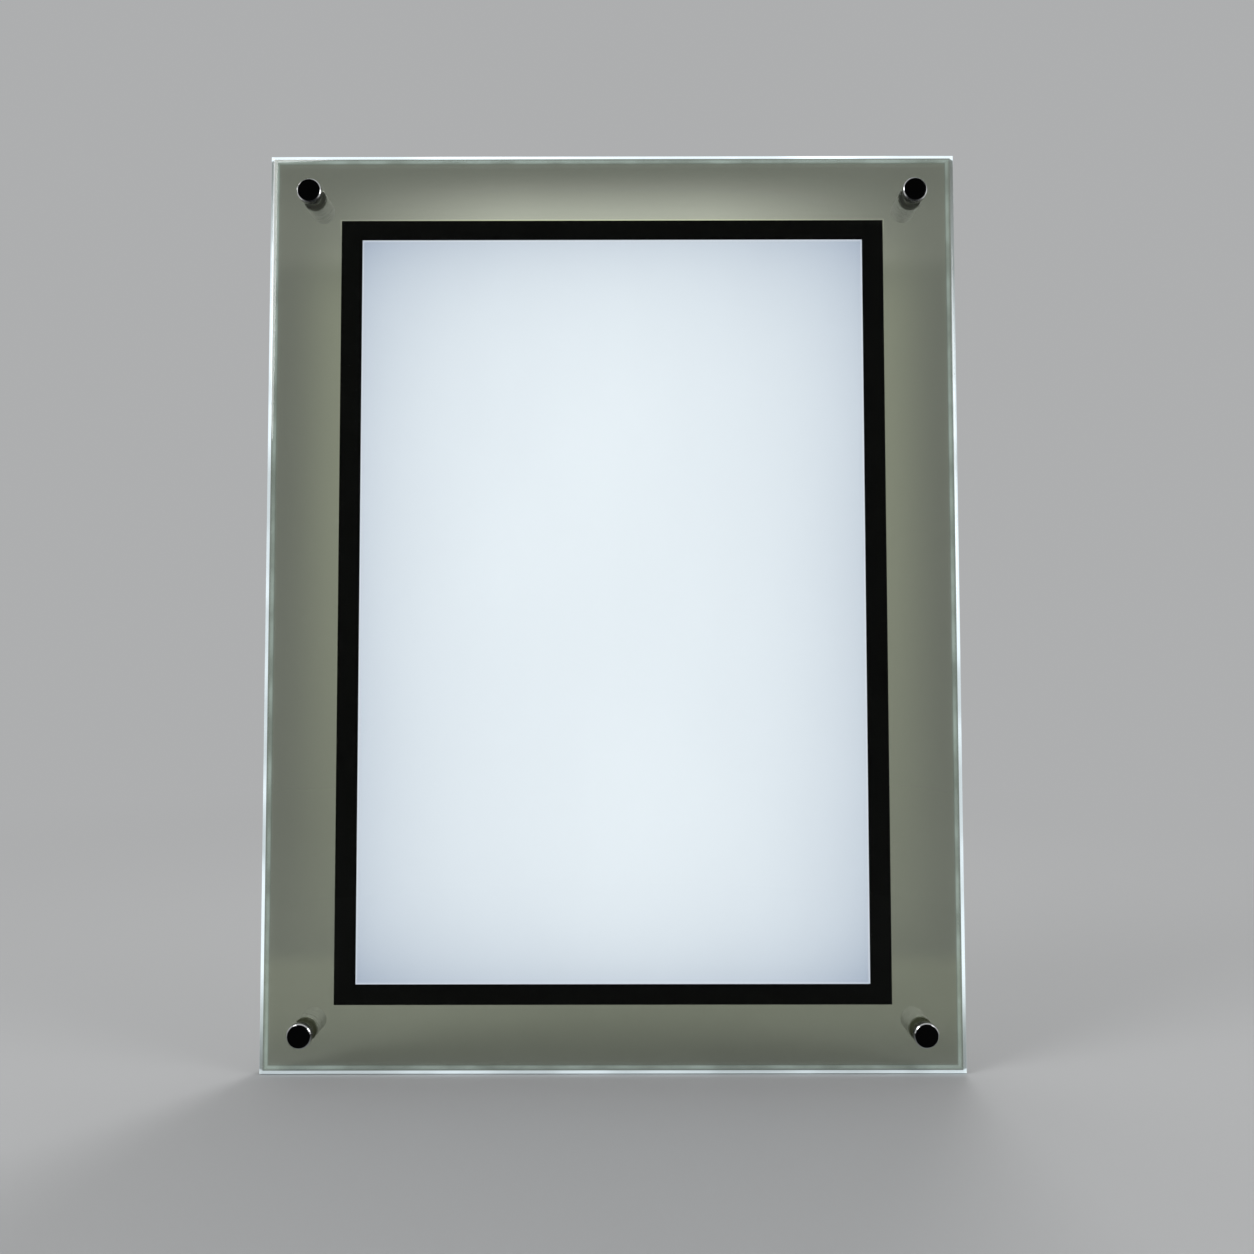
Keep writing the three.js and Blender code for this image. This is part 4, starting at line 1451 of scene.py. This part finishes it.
@dataclass
class Standoff:
    """One standoff: barrel, washers, and a cap that turns off with its threaded stud.

    The cap's bore is a radius and a depth. The ridge is the thread's profile over one turn, in shares of its
    depth and pitch.
    """

    shop: Shop
    corner: Corner
    barrel_bore: float = 4.2
    bore_edge: float = 0.4
    barrel_depth: float = 15.0
    barrel_ease: float = 0.12
    barrel_steps: int = 96
    screw_hole: float = 2.5
    chamfer: float = 0.6
    washer_hole: float = 5.0
    washer_ease: float = 0.22
    cap_chamfer: float = 0.8
    cap_back: float = 0.3
    cap_bore: Pair = (4.2, 3.8)
    cap_ease: float = 0.1
    cap_steps: int = 128
    flat: float = 0.95
    upright: float = 0.3
    pitch: float = 1.25
    thread_depth: float = 0.62
    stud_ease: float = 0.9
    thread_steps: int = 32
    ridge: Profile = ((0.0, 0.0), (0.0, 0.12), (1.0, 0.46), (1.0, 0.58), (0.0, 0.92), (0.0, 1.0))

    # The finish of the cap's face and side, steel painted dark as a painted reflection of a dark room, after
    # that of its rim
    MIRROR = 1

    def bench(self, kind: str) -> Bench:
        """A bench for this corner's piece of a kind."""
        return Bench(f"{kind}_{self.corner.value}")

    def finish(self, bench: Bench, look: str, body: str, slot: str, *finishes: str) -> None:
        """Seats a turned piece on its axis, from its room's back forward, and finishes it.

        Args:
            bench: The bench with the piece on it.
            look: What is added to the node's name.
            body: The body that it rides on.
            slot: The material slot of the record.
            finishes: The names of its finishes.
        """
        bench.move(bench.room.right, bench.room.up, bench.room.back)
        bench.piece(f"{bench.node}_{look}", body, slot, self.shop.get(*finishes))

    def barrel(self) -> None:
        """Makes the barrel."""
        bench = self.bench("barrel")
        outer, length = bench.room.width / 2, bench.room.depth
        edge, bore, screw = self.chamfer, self.barrel_bore, self.screw_hole
        end = length - self.barrel_depth
        profile = [(screw, 0.0), (outer - edge, 0.0), (outer, edge), (outer, length - edge)]
        profile += [(outer - edge, length), (bore + self.bore_edge, length), (bore, length - self.bore_edge)]
        profile += [(bore, end), (screw, end - (bore - screw))]
        bench.turn(profile, self.barrel_steps, ring=True, ease=self.barrel_ease)
        self.finish(bench, "turned", "rear_unit", "satin_steel", "satin_steel")

    def washer(self, kind: str, body: str) -> None:
        """Makes a clear washer.

        Args:
            kind: The washer's kind, as in its node's name.
            body: The body that it rides on.
        """
        bench = self.bench(kind)
        thick, outer, inner = bench.room.depth, bench.room.width / 2, self.washer_hole
        profile = [(inner, 0.0), (outer, 0.0), (outer, thick), (inner, thick)]
        bench.turn(profile, ring=True, ease=self.washer_ease)
        self.finish(bench, "soft", body, "clear_vinyl", "clear_vinyl")

    def cap(self, body: str) -> None:
        """Makes the cap: a face painted dark, a painted reflection of a dark room, in a bright chamfered rim.

        Args:
            body: The body that it rides on.
        """
        bench = self.bench("cap")
        outer, thick = bench.room.width / 2, bench.room.depth
        edge, back, (bore, depth) = self.cap_chamfer, self.cap_back, self.cap_bore
        profile = [(0.0, depth), (bore, depth), (bore, 0.0), (outer - back, 0.0), (outer, back)]
        profile += [(outer, thick - edge), (outer - edge, thick), (0.0, thick)]
        bench.turn(profile, self.cap_steps, ease=self.cap_ease)
        bench.paint(self.MIRROR, where=lambda middle, normal: not self.upright <= abs(normal.z) <= self.flat)
        self.finish(bench, "polished", body, "polished_steel", "polished_steel", "mirror_painted_dark")

    def stud(self, body: str) -> None:
        """Makes the stud, with a real helical thread and chamfered ends.

        Args:
            body: The body that it rides on.
        """
        bench = self.bench("stud")
        bm, crest, length = bench.bm, bench.room.width / 2, bench.room.depth
        root = crest - self.thread_depth
        ridge = [(root + rise * self.thread_depth, share * self.pitch) for rise, share in self.ridge]
        points = [bm.verts.new((radius, 0.0, station)) for radius, station in ridge]
        edges = [bm.edges.new(pair) for pair in zip(points, points[1:])]
        turns = math.ceil(length / self.pitch) + 1
        bmesh.ops.spin(
            bm, geom=points + edges, cent=(0, 0, 0), axis=(0, 0, 1),
            dvec=(0, 0, self.pitch / self.thread_steps), angle=2 * math.pi * turns,
            steps=self.thread_steps * turns, use_merge=False, use_duplicate=False,
        )
        bmesh.ops.remove_doubles(bm, verts=bm.verts, dist=THREAD_WELD)
        bench.move(0.0, 0.0, -self.pitch)
        for plane, facing in ((0.0, -1.0), (length, 1.0)):
            bmesh.ops.bisect_plane(
                bm, geom=[*bm.verts, *bm.edges, *bm.faces], dist=WELD, plane_co=(0, 0, plane),
                plane_no=(0, 0, facing), clear_outer=True, clear_inner=False,
            )
        bmesh.ops.remove_doubles(bm, verts=bm.verts, dist=THREAD_WELD)
        bmesh.ops.holes_fill(bm, edges=[edge for edge in bm.edges if edge.is_boundary], sides=0)
        for vert in bm.verts:
            radius = math.hypot(vert.co.x, vert.co.y)
            widest = crest - self.stud_ease + min(vert.co.z, length - vert.co.z)
            if radius > widest:
                vert.co.xy *= widest / radius
        self.finish(bench, "threaded", body, "satin_steel", "screw_steel")

    def build(self) -> None:
        """Makes the standoff's pieces."""
        carrier, screw = (f"cap_{part}_{self.corner.value}" for part in ("carrier", "screw"))
        self.barrel()
        self.washer("rear_washer", "rear_unit")
        self.washer("cap_washer", carrier)
        self.cap(screw)
        self.stud(screw)


# Studio


@dataclass
class Studio:
    """A pale floor that fades into a pale backdrop, soft lamps, and the camera of the photograph."""

    backdrop: Colour = (0.42, 0.425, 0.43)
    dark_wall: Ramp = (-0.85, -0.35, 0.02, 0.68)
    dark_floor: Ramp = (-0.10, -0.02, 0.05, 1.0)
    floor_drop: float = 0.0005
    floor_radius: float = 6.0
    floor_steps: int = 96
    fade: Ramp = (0.5, 2.2, 0.0, 1.0)
    lens: float = 30.60
    sensor: float = 36.0
    place: Triple = (0.0122, -0.8614, -0.0530)
    pitch: float = 2.56
    roll: float = 0.08
    yaw: float = 0.07
    lamp_size: float = 1.3
    lamps: tuple[tuple[str, Triple, float], ...] = (
        ("key_lamp", (-1.9, -1.3, 1.5), 26.0),
        ("fill_lamp", (2.1, -1.1, 0.9), 14.0),
        ("back_lamp", (0.7, 1.9, 3.2), 40.0),
    )

    def seen(self, nodes: Nodes) -> NodeSocket:
        """Tells the rays that show the backdrop itself: to the camera, directly or through glass.

        Args:
            nodes: The node tree under work.

        Returns:
            1 for such a ray and 0 for any other.
        """
        path = nodes.add("ShaderNodeLightPath", {}).outputs
        unturned = nodes.calc("LESS_THAN", path["Glossy Depth"], 0.5)
        through = nodes.calc("MULTIPLY", path["Is Transmission Ray"], unturned)
        return nodes.calc("MAXIMUM", through, path["Is Camera Ray"])

    def world(self) -> None:
        """Makes the world: soft light from all round but the dark wall in front, and the backdrop."""
        world = bpy.data.worlds.new("studio_world")
        bpy.context.scene.world = world
        world.use_nodes = True
        nodes = Nodes(world.node_tree)
        direction = nodes.add("ShaderNodeTexCoord", {}).outputs["Generated"]
        level = nodes.ranged(nodes.axes(direction)["Y"], *self.dark_wall)
        light = nodes.add("ShaderNodeCombineColor", {0: level, 1: level, 2: level}).outputs[0]
        background = nodes.tree.nodes["Background"].inputs
        nodes.feed(background["Color"], nodes.blend(self.seen(nodes), light, self.backdrop))
        nodes.feed(background["Strength"], 1.0)

    def paper(self) -> Material:
        """The floor's material: paper that fades into the backdrop, or for other rays into the world's light.
        For rays other than those seen, the paper in front of the light box is dark: painted shade, so that
        the plates and caps reflect a dark room.

        Returns:
            The material.
        """
        paper = Recipe("floor_paper")
        seen = self.seen(paper)
        # Painted shade: for rays other than those seen, the paper in front of the light box is dark
        level = paper.ranged(paper.axes(paper.place)["Y"], *self.dark_floor)
        colour = paper.blend(paper.calc("MAXIMUM", seen, level), (0.0, 0.0, 0.0), self.backdrop)
        paper.set(base_color=colour, roughness=0.9, specular_ior_level=0.1)
        clear = paper.add("ShaderNodeBsdfTransparent", {}).outputs[0]
        glow = paper.add("ShaderNodeEmission", {"Color": self.backdrop}).outputs[0]
        far = paper.add("ShaderNodeMixShader", {0: seen, 1: clear, 2: glow}).outputs[0]
        distance = paper.add("ShaderNodeVectorMath", {0: paper.place}, operation="LENGTH").outputs["Value"]
        near = {0: paper.ranged(distance, *self.fade), 1: paper.shader.outputs[0], 2: far}
        surface = paper.add("ShaderNodeMixShader", near).outputs[0]
        paper.feed(paper.tree.nodes["Material Output"].inputs["Surface"], surface)
        return paper.material

    def floor(self) -> None:
        """Lays the floor just under the light box."""
        bm = bmesh.new()
        bmesh.ops.create_circle(bm, cap_ends=True, segments=self.floor_steps, radius=self.floor_radius)
        bmesh.ops.translate(bm, vec=(0.0, 0.0, CAD_BOX[0].z - self.floor_drop), verts=bm.verts)
        mesh = bpy.data.meshes.new("floor")
        bm.to_mesh(mesh)
        bm.free()
        mesh.materials.append(self.paper())
        placed("floor", mesh)

    def lights(self) -> None:
        """Hangs the lamps, each aimed at the middle of the light box."""
        for name, place, power in self.lamps:
            data = bpy.data.lights.new(name, "AREA")
            data.shape, data.size, data.energy = "DISK", self.lamp_size, power
            lamp = placed(name, data)
            lamp.location = place
            lamp.rotation_euler = (-Vector(place)).to_track_quat("-Z", "Y").to_euler()
            lamp.visible_transmission = False

    def camera(self) -> None:
        """Sets the camera where the photograph was taken."""
        data = bpy.data.cameras.new("photo_camera")
        data.lens, data.sensor_width = self.lens, self.sensor
        camera = placed("photo_camera", data)
        camera.location = self.place
        camera.rotation_euler = tuple(math.radians(angle) for angle in (90 + self.pitch, self.roll, self.yaw))
        bpy.context.scene.camera = camera

    def build(self) -> None:
        """Sets the studio up."""
        self.camera()
        self.world()
        self.floor()
        self.lights()
        bpy.context.scene.view_settings.view_transform = "Standard"


def main() -> None:
    """Sets up the studio and builds the sub-assemblies in order."""
    logging.basicConfig(level=logging.INFO, format="%(message)s")
    Studio().build()
    shop = Shop()
    FrontCover(shop).build()
    RearUnit(shop).build()
    LitUnit(shop).build()
    Inlet(shop).build()
    for corner in Corner:
        Standoff(shop, corner).build()


if __name__ == "__main__":
    main()
